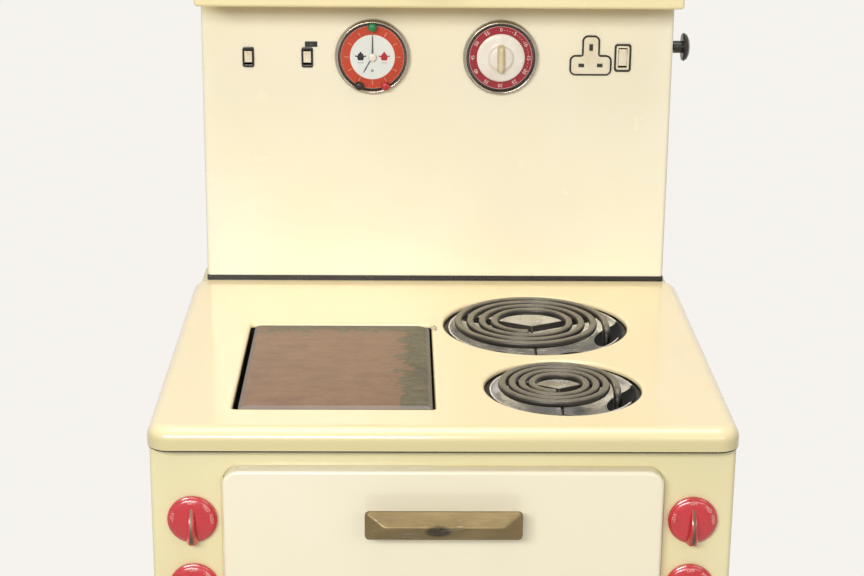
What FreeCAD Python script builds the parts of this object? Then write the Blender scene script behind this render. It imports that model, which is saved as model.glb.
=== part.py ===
import FreeCAD, Part
import math
import os

import Sketcher

# Free-standing electric cooker with an eye level grill, in millimetres.
# X runs to the right, Y to the back and Z up. The origin is on the floor under the middle.
# The hob top and the front of the upright are the two planes that most places start from.

V = FreeCAD.Vector
doc = FreeCAD.newDocument("Cooker")

SIZES = [
    # sheets, walls and clearances
    ("sheet_wall", 1.2, "pressed steel panels"),
    ("liner_wall", 1.5, "oven and grill linings"),
    ("lagging", 26.0, "glass wool round the oven"),
    ("fit_gap", 0.3, "clearance between parts that move past each other"),
    ("seat_gap", 0.2, "clearance where one part rests in another"),
    ("pin_play", 0.05, "radial play of a shaft in its hole"),
    # body
    ("hob_height", 905.0, "floor to the top of the hob"),
    ("body_reach", 488.5, "front of the upright to the front of the body"),
    ("back_reach", 130.0, "front of the upright to the back panel's outer face"),
    ("body_corner", 6.0, "rounding of the body's front corners"),
    ("frame_depth", 34.0, "depth of the front frame's folded edges"),
    ("plinth_height", 85.0, "floor to the underside of the body"),
    ("plinth_inset", 14.0, "plinth side set in from the side panels"),
    ("toe_recess", 45.0, "plinth front set back from the body's front"),
    ("foot_fold", 24.0, "inward fold that the plinth stands on"),
    # hob
    ("hob_width", 600.0, "over the rolled edges"),
    ("hob_lip", 2.0, "hob's rolled edge out from the side panels"),
    ("hob_reach", 505.0, "front of the upright to the hob's front edge"),
    ("hob_tuck", 12.0, "hob carried on behind the front of the upright"),
    ("hob_skirt", 23.0, "depth of the hob's rolled edge"),
    ("hob_corner", 24.0, "plan radius of the hob's corners"),
    ("hob_roll", 14.0, "radius of the hob's rolled edge"),
    ("seam_gap", 1.6, "dark seam between hob and body"),
    ("strip_height", 6.4, "rubber strip between hob and upright"),
    # hotplate
    ("slot_inset", 187.5, "hob's left edge to the middle of the hotplate's opening"),
    ("plate_shift", 1.5, "hotplate right of its opening's middle"),
    ("plate_reach", 309.0, "front of the upright to the hotplate's middle"),
    ("plate_width", 201.0, "hotplate across"),
    ("plate_depth", 266.0, "hotplate front to back"),
    ("plate_thick", 20.0, "cast hotplate"),
    ("plate_proud", 1.0, "hotplate above the hob"),
    ("plate_bevel", 5.0, "bevel round the hotplate's top"),
    ("plate_gap", 4.0, "dark gap round the hotplate, at rest in the middle"),
    # boiling rings
    ("rear_inset", 187.2, "hob's right edge to the rear ring's middle"),
    ("rear_reach", 170.0, "front of the upright to the rear ring's middle"),
    ("rear_hole", 106.5, "radius of the rear ring's cut-out"),
    ("rear_coil", 85.5, "rear coil's outer turn, to the tube's middle"),
    ("rear_pitch", 14.0, "rear coil, turn to turn"),
    ("front_inset", 171.5, "hob's right edge to the front ring's middle"),
    ("front_reach", 378.0, "front of the upright to the front ring's middle"),
    ("front_hole", 83.5, "radius of the front ring's cut-out"),
    ("front_coil", 60.5, "front coil's outer turn, to the tube's middle"),
    ("front_pitch", 10.6, "front coil, turn to turn"),
    ("coil_shift", 4.0, "coil's middle left of its cut-out's middle"),
    ("coil_tube", 8.6, "heating tube's diameter"),
    ("coil_rise", 1.5, "tube's middle above the hob"),
    ("coil_flat", 0.9, "pressed flat on top of the tube"),
    ("coil_bend", 13.0, "bend where the tube dives to its terminal"),
    ("bowl_drop", 4.0, "bowl's rim below the hob"),
    ("bowl_deep", 20.0, "bowl's floor below its rim"),
    ("bowl_wall", 1.0, "chromed bowl"),
    ("ledge_wide", 5.0, "ledge that the bowl hangs on"),
    # oven
    ("oven_inset", 29.0, "side of the door to the side of the oven cavity"),
    ("oven_height", 372.0, "oven cavity high"),
    ("oven_depth", 420.0, "oven cavity front to back"),
    ("flange_lap", 6.0, "oven's flange beyond each side of the door"),
    ("oven_lift", 42.0, "oven floor above the bottom of its door"),
    ("shelf_wire", 6.0, "wire of the shelf and its runners"),
    ("shelf_level", 190.0, "shelf above the oven floor"),
    ("ladder_inset", 30.0, "runners' uprights in from the oven's front and back"),
    ("runner_reach", 14.0, "runners out from the oven's sides"),
    # doors
    ("door_inset", 74.0, "side panel to the side of the doors"),
    ("door_top", 45.7, "top of the oven door below the hob"),
    ("door_height", 475.0, "oven door high"),
    ("door_proud", 14.5, "doors stand out from the body"),
    ("door_thick", 40.0, "oven door front to back"),
    ("seal_thick", 5.6, "woven seal round the oven's mouth"),
    ("door_corner", 17.0, "rounding of the doors' corners"),
    ("door_edge", 4.0, "rounding round the doors' faces"),
    ("door_gap", 2.2, "dark gap round the doors"),
    ("rail_high", 34.0, "rail between oven door and drawer"),
    ("drawer_height", 230.0, "drawer front high"),
    ("drawer_depth", 420.0, "drawer front to back"),
    ("drawer_thick", 18.0, "drawer front's pan"),
    ("handle_long", 159.0, "handle from end to end"),
    ("handle_high", 30.0, "handle's grip from top to bottom"),
    ("handle_proud", 35.0, "handle out from the door"),
    ("handle_grip", 15.0, "thickness of the handle's bar"),
    ("handle_drop", 34.3, "top of the door to the top of its handle"),
    ("pivot_lift", 5.0, "door pivot above the door's bottom"),
    ("pivot_out", 7.5, "door pivot in front of the body"),
    ("pivot_pin", 3.0, "radius of the door's hinge pins"),
    ("hinge_inset", 59.0, "side of the door to the middle of its hinge"),
    ("bracket_wide", 8.0, "hinge bracket across"),
    ("cheek_high", 40.0, "top of the hinge's cheeks above the door's bottom"),
    # controls on the front
    ("knob_inset", 42.3, "side panel to the middle of each knob"),
    ("knob_drop", 103.4, "hob to the upper knobs' middle"),
    ("knob_pitch", 75.0, "upper knob to lower knob"),
    ("knob_radius", 26.0, "control knob"),
    ("knob_deep", 24.0, "control knob's skirt to the top of its bar"),
    ("spindle", 3.0, "radius of the knobs' spindles"),
    ("regulator_side", 44.0, "regulator's housing"),
    ("regulator_deep", 40.0, "regulator's housing front to back"),
    # upright
    ("upright_inset", 16.5, "hob's side edge to the side of the upright"),
    ("upright_corner", 5.0, "rounding of the upright's front corners"),
    ("grill_drop", 353.5, "hob to the underside of the grill"),
    ("dial_height", 281.8, "hob to the middles of clock and timer"),
    ("clock_x", -78.5, "middle of the clock"),
    ("timer_x", 75.7, "middle of the timer"),
    ("dial_radius", 45.5, "clock and timer over their chromed rims"),
    ("dial_proud", 9.0, "chromed rims out from the upright"),
    ("case_radius", 38.0, "clock and timer bodies behind the upright"),
    ("case_deep", 42.0, "clock and timer bodies"),
    ("rocker_left", -227.5, "middle of the first rocker switch"),
    ("rocker_next", -156.8, "middle of the second rocker switch"),
    ("rocker_height", 280.2, "hob to the middles of the rocker switches"),
    ("rocker_wide", 9.0, "rocker across"),
    ("rocker_high", 16.5, "rocker high"),
    ("bezel_side", 2.5, "bezel beyond each side of its rocker"),
    ("bezel_end", 4.2, "bezel beyond each end of its rocker"),
    ("bezel_proud", 2.2, "bezels out from the upright"),
    ("socket_x", 184.3, "middle of the socket outlet"),
    ("socket_height", 272.6, "hob to the middle of its lower slots"),
    ("socket_wide", 46.4, "socket's lower lobe across"),
    ("socket_high", 20.6, "socket's lower lobe high"),
    ("socket_lobe", 17.0, "socket's upper lobe across"),
    ("socket_rise", 44.4, "socket's whole height"),
    ("outline_wide", 2.2, "black edging round socket and switch"),
    ("outlet_x", 222.9, "middle of the socket's switch"),
    ("outlet_height", 281.8, "hob to the middle of the socket's switch"),
    ("outlet_wide", 10.0, "socket switch's rocker across"),
    ("outlet_high", 23.0, "socket switch's rocker high"),
    ("push_height", 287.0, "hob to the side knob"),
    ("push_setback", 46.0, "side knob behind the front of the upright"),
    ("push_radius", 17.3, "side knob"),
    ("push_proud", 25.1, "side knob out from the upright"),
    ("push_travel", 6.0, "side knob's travel"),
    # grill
    ("grill_inset", 0.5, "side of the upright to the side of the grill"),
    ("grill_height", 168.0, "grill's casing"),
    ("grill_proud", 82.0, "grill in front of the upright"),
    ("grill_corner", 4.0, "rounding of the grill's edges"),
    ("mouth_inset", 63.0, "side of the grill to the side of its mouth"),
    ("mouth_height", 118.0, "grill's mouth high"),
    ("mouth_lift", 22.0, "grill's mouth above the casing's underside"),
    ("grill_depth", 186.0, "grill's compartment front to back"),
    ("pan_inset", 22.0, "side of the mouth to the side of the pan's rim"),
    ("pan_depth", 176.0, "grill pan front to back"),
    ("pan_height", 34.0, "grill pan"),
    ("pan_handle", 96.0, "grill pan's handle out from the pan"),
    # back
    ("cover_proud", 22.0, "terminal cover out from the back panel"),
    ("cover_rise", 110.0, "underside of the body to the middle of the terminal cover"),
    ("cover_wide", 120.0, "terminal cover across"),
    ("cover_high", 90.0, "terminal cover high"),
    ("cable_hole", 7.0, "radius of the cable's way in"),
]


class Size:
    """A length together with the spreadsheet formula that gives it."""

    def __init__(self, value, formula):
        self.value = value
        self.formula = formula

    def __add__(self, other):
        other = size_of(other)
        return Size(self.value + other.value, f"({self.formula} + {other.formula})")

    def __sub__(self, other):
        other = size_of(other)
        return Size(self.value - other.value, f"({self.formula} - {other.formula})")

    def __mul__(self, factor):
        return Size(self.value * factor, f"{self.formula} * {factor!r}")

    def __truediv__(self, factor):
        return Size(self.value / factor, f"{self.formula} / {factor!r}")

    def __neg__(self):
        return self * -1

    def __radd__(self, other):
        return size_of(other) + self

    def __rsub__(self, other):
        return size_of(other) - self

    __rmul__ = __mul__


def size_of(item):
    return item if isinstance(item, Size) else Size(float(item), repr(float(item)))


class Sheet:
    """The driving sizes, each under its alias in the spreadsheet."""

    def __init__(self):
        cells = doc.addObject("Spreadsheet::Sheet", "Sizes")
        for row, (alias, value, meaning) in enumerate(SIZES, start=1):
            cells.set(f"A{row}", alias)
            cells.set(f"B{row}", str(value))
            cells.setAlias(f"B{row}", alias)
            cells.set(f"C{row}", meaning)
            setattr(self, alias, Size(value, f"Sizes.{alias}"))


s = Sheet()
doc.recompute()

# ---------------------------------------------------------------- building blocks

AXES = {
    "+Z": FreeCAD.Rotation(),
    "-Z": FreeCAD.Rotation(V(1, 0, 0), 180),
    "+Y": FreeCAD.Rotation(V(1, 0, 0), -90),
    "-Y": FreeCAD.Rotation(V(1, 0, 0), 90),
    "+X": FreeCAD.Rotation(V(0, 1, 0), 90),
    "-X": FreeCAD.Rotation(V(0, 1, 0), -90),
}


def bind(item, prop, size):
    item.setExpression(prop, size_of(size).formula)


def place(item, x, y, z, axis="+Z"):
    x, y, z = size_of(x), size_of(y), size_of(z)
    item.Placement = FreeCAD.Placement(V(x.value, y.value, z.value), AXES[axis])
    for name, size in (("x", x), ("y", y), ("z", z)):
        bind(item, f"Placement.Base.{name}", size)
    return item


def block(label, x, y, z):
    """A box between three pairs of planes."""
    item = doc.addObject("Part::Box", "Block")
    item.Label = label
    for prop, (low, high) in (("Length", x), ("Width", y), ("Height", z)):
        bind(item, prop, size_of(high) - low)
    return place(item, x[0], y[0], z[0])


def rod(label, start, radius, length, axis="+Z"):
    item = doc.addObject("Part::Cylinder", "Rod")
    item.Label = label
    bind(item, "Radius", radius)
    bind(item, "Height", length)
    return place(item, *start, axis)


def fuse(label, *pieces):
    item = doc.addObject("Part::MultiFuse", "Union")
    item.Label = label
    item.Shapes = list(pieces)
    return item


def group(label, *pieces):
    """Separate solids that share a node."""
    item = doc.addObject("Part::Compound", "Group")
    item.Label = label
    item.Links = list(pieces)
    return item


def cut(label, base, *tools):
    item = doc.addObject("Part::Cut", "Cut")
    item.Label = label
    item.Base = base
    item.Tool = tools[0] if len(tools) == 1 else fuse(label + " cutters", *tools)
    return item


def origin_plane(body, role):
    return [plane for plane in body.Origin.OriginFeatures if plane.Role == role][0]


def outline(body, role, points, offset=0):
    """A closed sketch through bound points, on one of the body's origin planes."""
    drawing = body.newObject("Sketcher::SketchObject", "Outline")
    drawing.AttachmentSupport = [(origin_plane(body, role), "")]
    drawing.MapMode = "FlatFace"
    bind(drawing, "AttachmentOffset.Base.z", offset)
    corners = [(size_of(u), size_of(v)) for u, v in points]
    count = len(corners)
    for index, (u, v) in enumerate(corners):
        ahead_u, ahead_v = corners[(index + 1) % count]
        start = V(u.value, v.value, 0)
        drawing.addGeometry(Part.LineSegment(start, V(ahead_u.value, ahead_v.value, 0)))
    for index in range(count):
        drawing.addConstraint(Sketcher.Constraint("Coincident", index, 2, (index + 1) % count, 1))
    for index, corner in enumerate(corners):
        for kind, size in zip(("DistanceX", "DistanceY"), corner):
            held = drawing.addConstraint(Sketcher.Constraint(kind, -1, 1, index, 1, size.value))
            bind(drawing, f"Constraints[{held}]", size)
    return drawing


def prism(label, role, points, low, high):
    """An outline carried from one plane to another: XY rises in Z, XZ runs in Y, YZ runs in X."""
    body = doc.addObject("PartDesign::Body", "Body")
    body.Label = label
    start = -size_of(high) if role == "XZ_Plane" else low
    drawing = outline(body, role, points, start)
    doc.recompute()
    pad = body.newObject("PartDesign::Pad", "Pad")
    pad.Profile = drawing
    bind(pad, "Length", size_of(high) - low)
    doc.recompute()
    return body


def lathe(label, points, x=0, y=0, z=0, axis="+Z"):
    """A profile of (radius, height) points turned round its height axis."""
    body = doc.addObject("PartDesign::Body", "Body")
    body.Label = label
    drawing = outline(body, "XZ_Plane", points)
    doc.recompute()
    turned = body.newObject("PartDesign::Revolution", "Turned")
    turned.Profile = drawing
    turned.ReferenceAxis = (drawing, ["V_Axis"])
    turned.Angle = 360
    place(body, x, y, z, axis)
    doc.recompute()
    return body


def rounded(item, radius, chosen):
    """Rounds those edges of a body's last feature that the test picks."""
    edges = item.Tip.Shape.Edges
    names = [f"Edge{index}" for index, edge in enumerate(edges, start=1) if chosen(edge)]
    tip = item.Tip
    fillet = item.newObject("PartDesign::Fillet", "Rounding")
    fillet.Base = (tip, names)
    bind(fillet, "Radius", radius)
    doc.recompute()
    return item


def spread(edge):
    ends = [vertex.Point for vertex in edge.Vertexes]
    return [max(p[i] for p in ends) - min(p[i] for p in ends) for i in range(3)]


def along(axis, *tests):
    """Picks edges that run along one axis and pass the further tests on their middle."""
    index = "XYZ".index(axis)

    def chosen(edge):
        gaps = spread(edge)
        straight = gaps[index] > 1e-3 and max(gaps[:index] + gaps[index + 1:]) < 1e-3
        return straight and all(test(edge.CenterOfMass) for test in tests)

    return chosen


def level(axis, size, side=0.02):
    """Tests that a point lies in one plane."""
    index = "XYZ".index(axis)
    return lambda point: abs(point[index] - size_of(size).value) < side


def lying(axis, size):
    """Picks every edge that lies wholly in one plane."""
    index = "XYZ".index(axis)
    flat = size_of(size).value

    def chosen(edge):
        box = edge.BoundBox
        low, high = ((box.XMin, box.XMax), (box.YMin, box.YMax), (box.ZMin, box.ZMax))[index]
        return abs(low - flat) < 0.02 and abs(high - flat) < 0.02

    return chosen


def box_points(low_u, high_u, low_v, high_v):
    return [(low_u, low_v), (high_u, low_v), (high_u, high_v), (low_u, high_v)]


def rounded_slab(label, role, x, y, z, corner, corner_axis, face=None, roll=None):
    """A slab with rounded corners and, where named, a rounded face."""
    spans = {"XY_Plane": (x, y, z), "XZ_Plane": (x, z, y), "YZ_Plane": (y, z, x)}[role]
    item = prism(label, role, box_points(*spans[0], *spans[1]), *spans[2])
    rounded(item, corner, along(corner_axis))
    if face is not None:
        rounded(item, roll, lying(*face))
    return item


def fixed_shape(label, shape):
    item = doc.addObject("Part::Feature", "Formed")
    item.Label = label
    item.Shape = shape
    return item


# ---------------------------------------------------------------- main planes

front_reach = s.body_reach + s.door_proud + s.handle_proud
rear_reach = s.back_reach + s.cover_proud
upright_y = (front_reach - rear_reach) / 2
body_y = upright_y - s.body_reach
back_y = upright_y + s.back_reach
hob_front = upright_y - s.hob_reach
hob_back = upright_y + s.hob_tuck
hob_z = s.hob_height
seam_z = hob_z - s.hob_skirt
body_top = seam_z - s.seam_gap
floor_z = s.plinth_height
half_hob = s.hob_width / 2
half_body = half_hob - s.hob_lip
half_upright = half_hob - s.upright_inset
half_grill = half_upright - s.grill_inset
knob_x = half_body - s.knob_inset
upright_low = hob_z + s.strip_height
grill_low = hob_z + s.grill_drop
grill_high = grill_low + s.grill_height
grill_front = upright_y - s.grill_proud

door_high = hob_z - s.door_top
door_low = door_high - s.door_height
drawer_high = door_low - s.rail_high
drawer_low = drawer_high - s.drawer_height
door_face = body_y - s.door_proud
half_door = half_body - s.door_inset
hinge_x = half_door - s.hinge_inset
oven_low = door_low + s.oven_lift
oven_high = oven_low + s.oven_height
oven_front = door_face + s.door_thick + s.fit_gap + s.seal_thick
oven_back = oven_front + s.oven_depth
half_oven = half_door - s.oven_inset

nodes = []


def node(item):
    nodes.append(item)
    return item

# ---------------------------------------------------------------- body


def plinth():
    low_x = -half_body + s.plinth_inset
    front = body_y + s.toe_recess
    back = back_y - s.plinth_inset
    skirt = block("plinth skirt", (low_x, -low_x), (front, back), (0, floor_z))
    wall = s.sheet_wall
    room = block("plinth room", (low_x + wall, -low_x - wall), (front + wall, back - wall),
                 (wall, floor_z - wall))
    fold = s.foot_fold
    below = block("plinth mouth", (low_x + fold, -low_x - fold), (front + fold, back - fold),
                  (-1, wall + 1))
    tray = block("base tray", (-half_body + wall, half_body - wall),
                 (body_y + wall, back_y - wall), (floor_z, floor_z + wall))
    frame = cut("plinth frame", skirt, room, below)
    return node(group("plinth", fuse("base", frame, tray, *drawer_rails())))


def side_panels():
    """Two folded panels, each with a ledge at the back that the upright stands on."""
    wall = s.sheet_wall
    low = floor_z + wall
    ledge_in = half_upright - 4

    def panel(side):
        name = "right side" if side > 0 else "left side"
        outer, inner = half_body * side, (half_body - wall) * side
        xs = (inner, outer) if side > 0 else (outer, inner)
        sheet = block(name, xs, (body_y + s.frame_depth, back_y - wall), (low, body_top))
        foot = s.frame_depth * side
        fold_x = (inner - foot, inner) if side > 0 else (inner, inner - foot)
        fold = block(name + " fold", fold_x, (body_y + s.frame_depth, back_y - wall), (low, low + wall))
        ledge_x = (ledge_in, outer) if side > 0 else (outer, -ledge_in)
        ledge = block(name + " ledge", ledge_x, (hob_back + s.seam_gap, back_y - wall),
                      (body_top - wall, body_top))
        return fuse(name + " panel", sheet, fold, ledge)

    return node(group("side_panels", panel(-1), panel(1)))


def back_panel():
    """One sheet from the base to the grill, stepped in where the upright is narrower."""
    wall = s.sheet_wall
    edge, neck = half_body - wall, half_upright - wall
    points = [(-edge, floor_z), (edge, floor_z), (edge, body_top), (neck, body_top),
              (neck, grill_high - wall), (-neck, grill_high - wall), (-neck, body_top), (-edge, body_top)]
    sheet = prism("back sheet", "XZ_Plane", points, back_y - wall, back_y)
    cable = rod("cable way", (0, back_y - 10, cover_z), s.cable_hole + 6, 20, "+Y")
    return node(cut("back_panel", sheet, cable))


cover_z = floor_z + s.cover_rise


def terminal_cover():
    """A shallow box over the mains terminals, with the cable's way in at its foot."""
    wall = s.sheet_wall
    half, low, high = s.cover_wide / 2, cover_z - s.cover_high / 2, cover_z + s.cover_high / 2
    shell = rounded_slab("cover shell", "XZ_Plane", (-half, half), (back_y, back_y + s.cover_proud),
                         (low, high), 6, "Y")
    room = block("cover room", (-half + wall, half - wall), (back_y - 1, back_y + s.cover_proud - wall),
                 (low + wall, high - wall))
    entry = rod("cable entry", (0, back_y + s.cover_proud / 2, low - 5), s.cable_hole, 20)
    return node(cut("terminal_cover", shell, room, entry))


def casing_screws():
    """Pan-head screws that hold the back panel and the terminal cover."""
    head = 4.0
    places = [(x, z) for x in (-half_body + 30, half_body - 30) for z in (floor_z + 40, body_top - 40)]
    places += [(x, z) for x in (-half_upright + 30, half_upright - 30)
               for z in (upright_low + 60, grill_low - 40)]
    screws = [lathe("screw", [(0, 0), (head, 0), (head, 1.2), (head - 1.4, 2.4), (0, 2.4)],
                    x, back_y, z, "+Y") for x, z in places]
    return node(group("casing_screws", *screws))


def front_frame():
    """The folded front of the body, with openings for the oven door and the drawer."""
    wall = s.sheet_wall
    low = floor_z + wall
    shell = prism("front shell", "XZ_Plane", box_points(-half_body, half_body, low, body_top),
                  body_y, body_y + s.frame_depth)
    rounded(shell, s.body_corner, along("Z", level("Y", body_y)))
    room = prism("front room", "XZ_Plane",
                 box_points(-half_body + wall, half_body - wall, low + wall, body_top - wall),
                 body_y + wall, body_y + s.frame_depth + 1)
    rounded(room, s.body_corner - wall, along("Z", level("Y", body_y + wall)))
    gap = s.door_gap
    holes = []
    for name, bottom, top in (("oven", door_low, door_high), ("drawer", drawer_low, drawer_high)):
        hole = prism(name + " opening", "XZ_Plane",
                     box_points(-half_door - gap, half_door + gap, bottom - gap, top + gap),
                     body_y - 1, body_y + s.frame_depth + 1)
        holes.append(rounded(hole, s.door_corner + gap, along("Y")))
    for x, z in knob_places():
        holes.append(rod("spindle hole", (x, body_y - 5, z), s.spindle * 2, 20, "+Y"))
    return node(cut("front_frame", shell, room, *holes))


def knob_places():
    high = hob_z - s.knob_drop
    return [(knob_x * side, z) for side in (-1, 1) for z in (high, high - s.knob_pitch)]


# ---------------------------------------------------------------- oven


def oven_liner():
    """Enamelled box with a front flange that closes the gap to the front frame."""
    wall, edge = s.liner_wall, half_door + s.flange_lap
    flange_high, flange_low = body_top - s.sheet_wall, door_low - 10
    flange = prism("oven flange", "XZ_Plane", box_points(-edge, edge, flange_low, flange_high),
                   oven_front, oven_front + wall)
    shell = block("oven shell", (-half_oven - wall, half_oven + wall), (oven_front, oven_back + wall),
                  (oven_low - wall, oven_high + wall))
    cavity = block("oven room", (-half_oven, half_oven), (oven_front - 1, oven_back),
                   (oven_low, oven_high))
    tails = [rod("tail hole", (x, oven_back - 5, oven_low + 22), 4.6, 20, "+Y") for x in element_tails()]
    return node(cut("oven_liner", fuse("oven body", flange, shell), cavity, *tails))


def element_tails():
    return (-element_half, element_half)


element_half = half_oven - 60


def lining_blanket():
    wall, thick = s.liner_wall, s.lagging
    inner_x, inner_low, inner_high = half_oven + wall, oven_low - wall, oven_high + wall
    start = oven_front + wall
    blanket = block("blanket", (-inner_x - thick, inner_x + thick), (start, oven_back + wall + thick),
                    (inner_low - thick, inner_high + thick))
    room = block("blanket room", (-inner_x, inner_x), (start - 1, oven_back + wall),
                 (inner_low, inner_high))
    tails = [rod("tail way", (x, oven_back, oven_low + 22), 4.6, thick + 20, "+Y")
             for x in element_tails()]
    return node(cut("oven_insulation", blanket, room, *tails))


def bent_wire(label, points, bend, radius):
    """A round wire through corner points, each corner rounded to one bend radius."""
    corners = [V(*[size_of(part).value for part in point]) for point in points]
    edges, start = [], corners[0]
    for before, corner, after in zip(corners, corners[1:], corners[2:]):
        into = (corner - before).normalize()
        out = (after - corner).normalize()
        half_turn = into.getAngle(out) / 2
        setback = bend * math.tan(half_turn)
        first, last = corner - into * setback, corner + out * setback
        inward = (out - into).normalize()
        centre = corner + inward * (bend / math.cos(half_turn))
        middle = centre - inward * bend
        if (first - start).Length > 1e-6:
            edges.append(Part.LineSegment(start, first).toShape())
        edges.append(Part.Arc(first, middle, last).toShape())
        start = last
    edges.append(Part.LineSegment(start, corners[-1]).toShape())
    path = Part.Wire(edges)
    ring = Part.Wire(Part.Circle(corners[0], (corners[1] - corners[0]).normalize(), radius).toShape())
    return fixed_shape(label, path.makePipeShell([ring], True, False))


def oven_element():
    """A looped heating tube over the oven floor, its tails going out through the back."""
    half, z = element_half, oven_low + 22
    front, back = oven_front + 60, oven_back - 90
    points = [(-half, oven_back + 30, z), (-half, front, z), (-half / 3, front, z), (-half / 3, back, z),
              (half / 3, back, z), (half / 3, front, z), (half, front, z), (half, oven_back + 30, z)]
    return node(bent_wire("oven_element", points, 22, 4.0))


def shelf_runners():
    """A wire ladder down each side of the oven that carries the shelf."""
    wire = s.shelf_wire / 2
    inner_y = (oven_front + s.ladder_inset, oven_back - s.ladder_inset)
    rungs = [oven_low + s.shelf_level, oven_low + s.shelf_level + 90, oven_low + s.shelf_level - 80]

    def ladder(side):
        wall_x, rail_x = half_oven * side, (half_oven - s.runner_reach + wire) * side
        pieces = []
        for y in inner_y:
            pieces.append(rod("upright wire", ((half_oven - wire - 0.02) * side, y, oven_low + 60), wire,
                              s.oven_height - 120))
        for z in rungs:
            under = z - wire
            pieces.append(rod("rung", (rail_x, inner_y[0], under), wire, inner_y[1] - inner_y[0], "+Y"))
            for y in inner_y:
                axis = "+X" if side > 0 else "-X"
                pieces.append(rod("arm", (rail_x, y, under), wire, (wall_x - rail_x) * side - wire, axis))
        return fuse("ladder", *pieces)

    return node(group("shelf_runners", ladder(-1), ladder(1)))


def oven_shelf():
    """A wire grid that slides on the runners."""
    wire = s.shelf_wire / 2
    z = oven_low + s.shelf_level + s.seat_gap + wire
    half = half_oven - s.shelf_wire - 1
    front, back = oven_front + s.ladder_inset - 4, oven_back - s.ladder_inset + 4
    thin = 2.0
    pieces = [rod("shelf side", (x, front, z), wire, back - front, "+Y") for x in (-half + wire, half - wire)]
    pieces += [rod("shelf end", (-half + wire, y, z), wire, (half - wire) * 2, "+X")
               for y in (front, back)]
    bars = 13
    for index in range(1, bars):
        x = -half + (half * 2) * (index / bars)
        pieces.append(rod("shelf bar", (x, front, z), thin, back - front, "+Y"))
    return node(fuse("oven_shelf", *pieces))


def door_seal():
    """A flat woven seal round the oven's mouth."""
    wide, thick = 10.0, s.seal_thick
    edge, low, high = half_oven + 4, oven_low - 4, oven_high + 4
    outer = block("seal outside", (-edge - wide, edge + wide), (oven_front - thick, oven_front),
                  (low - wide, high + wide))
    inner = block("seal inside", (-edge, edge), (oven_front - thick - 1, oven_front + 1), (low, high))
    return node(cut("door_seal", outer, inner))

# ---------------------------------------------------------------- oven door and drawer

pivot_y = body_y - s.pivot_out
pivot_z = door_low + s.pivot_lift
pan_deep = 26.0


def notches(name, back):
    """Room for the hinge brackets in the bottom edge of the door."""
    half = s.bracket_wide / 2 + 1
    return [block(name, (hinge_x * side - half, hinge_x * side + half),
                  (door_face + s.sheet_wall + 0.3, back), (door_low - 1, pivot_z + 9))
            for side in (-1, 1)]


def pressed_front(label, low, high, deep):
    """A shallow pan with rounded corners and a soft edge round its face."""
    wall = s.sheet_wall
    shell = rounded_slab(label + " shell", "XZ_Plane", (-half_door, half_door),
                         (door_face, door_face + deep), (low, high), s.door_corner, "Y",
                         ("Y", door_face), s.door_edge)
    room = rounded_slab(label + " room", "XZ_Plane", (-half_door + wall, half_door - wall),
                        (door_face + wall, door_face + deep + 1), (low + wall, high - wall),
                        s.door_corner - wall, "Y", ("Y", door_face + wall), s.door_edge - wall)
    return shell, room


def door_outer():
    shell, room = pressed_front("door", door_low, door_high, pan_deep)
    return node(cut("door_outer", shell, room, *notches("skin notch", door_face + pan_deep + 1)))


def door_inner():
    """The door's lining, closing the back of the outer pan."""
    back = door_face + s.door_thick
    plate = rounded_slab("lining plate", "XZ_Plane", (-half_door, half_door),
                         (door_face + pan_deep, back), (door_low, door_high), s.door_corner, "Y",
                         ("Y", back), s.door_edge)
    return node(cut("door_inner", plate, *notches("lining notch", back + 1)))


def door_insulation():
    wall = s.sheet_wall
    edge = half_door - s.door_corner
    return node(block("door_insulation", (-edge, edge), (door_face + wall, door_face + pan_deep),
                      (door_low + 45, door_high - s.door_corner)))


def handle(label, high):
    """A bar with four sloping faces on two end posts."""
    middle = high - s.handle_drop - s.handle_high / 2
    half, rise = s.handle_long / 2, s.handle_high / 2
    front = door_face - s.handle_proud
    bar = doc.addObject("Part::Wedge", "Bar")
    bar.Label = label + " bar"
    slope = s.handle_grip
    for prop, size in (("Xmin", -half + slope), ("Xmax", half - slope), ("Zmin", -3.0), ("Zmax", 3.0),
                       ("X2min", -half), ("X2max", half), ("Z2min", -rise), ("Z2max", rise),
                       ("Ymin", 0), ("Ymax", s.handle_grip)):
        bind(bar, prop, size)
    place(bar, 0, front, middle)
    posts = []
    for side in (-1, 1):
        outer, inner = (half - 4) * side, (half - 18) * side
        xs = (inner, outer) if side > 0 else (outer, inner)
        posts.append(block(label + " post", xs, (front + s.handle_grip, door_face),
                           (middle - rise + 5, middle + rise - 5)))
    return node(fuse(label, bar, *posts))


def door_hinges():
    """Cheeks inside the door, joined by the pins that it turns on."""
    half, wall = s.bracket_wide / 2 + 0.5, s.sheet_wall
    cheek = 4.0
    hinges = []
    for side in (-1, 1):
        x = hinge_x * side
        pin = rod("hinge pin", (x - half - cheek, pivot_y, pivot_z), s.pivot_pin, (half + cheek) * 2, "+X")
        cheeks = [block("cheek", span, (door_face + wall, door_face + pan_deep),
                        (door_low + s.door_edge, door_low + s.cheek_high))
                  for span in ((x - half - cheek, x - half), (x + half, x + half + cheek))]
        hinges.append(fuse("hinge", pin, *cheeks))
    return node(group("door_hinges", *hinges))


def hinge_brackets():
    """Arms on the oven's flange, with the eyes that hold the door's pins."""
    half, eye = s.bracket_wide / 2, 5.0
    brackets = []
    for side in (-1, 1):
        x = hinge_x * side
        boss = rod("eye", (x - half, pivot_y, pivot_z), eye, s.bracket_wide, "+X")
        arm = block("arm", (x - half, x + half), (pivot_y, oven_front), (pivot_z - eye, pivot_z + eye))
        bore = rod("eye bore", (x - half - 1, pivot_y, pivot_z), s.pivot_pin + s.pin_play,
                   s.bracket_wide + 2, "+X")
        brackets.append(cut("bracket", fuse("bracket body", boss, arm), bore))
    return node(group("hinge_brackets", *brackets))


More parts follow.
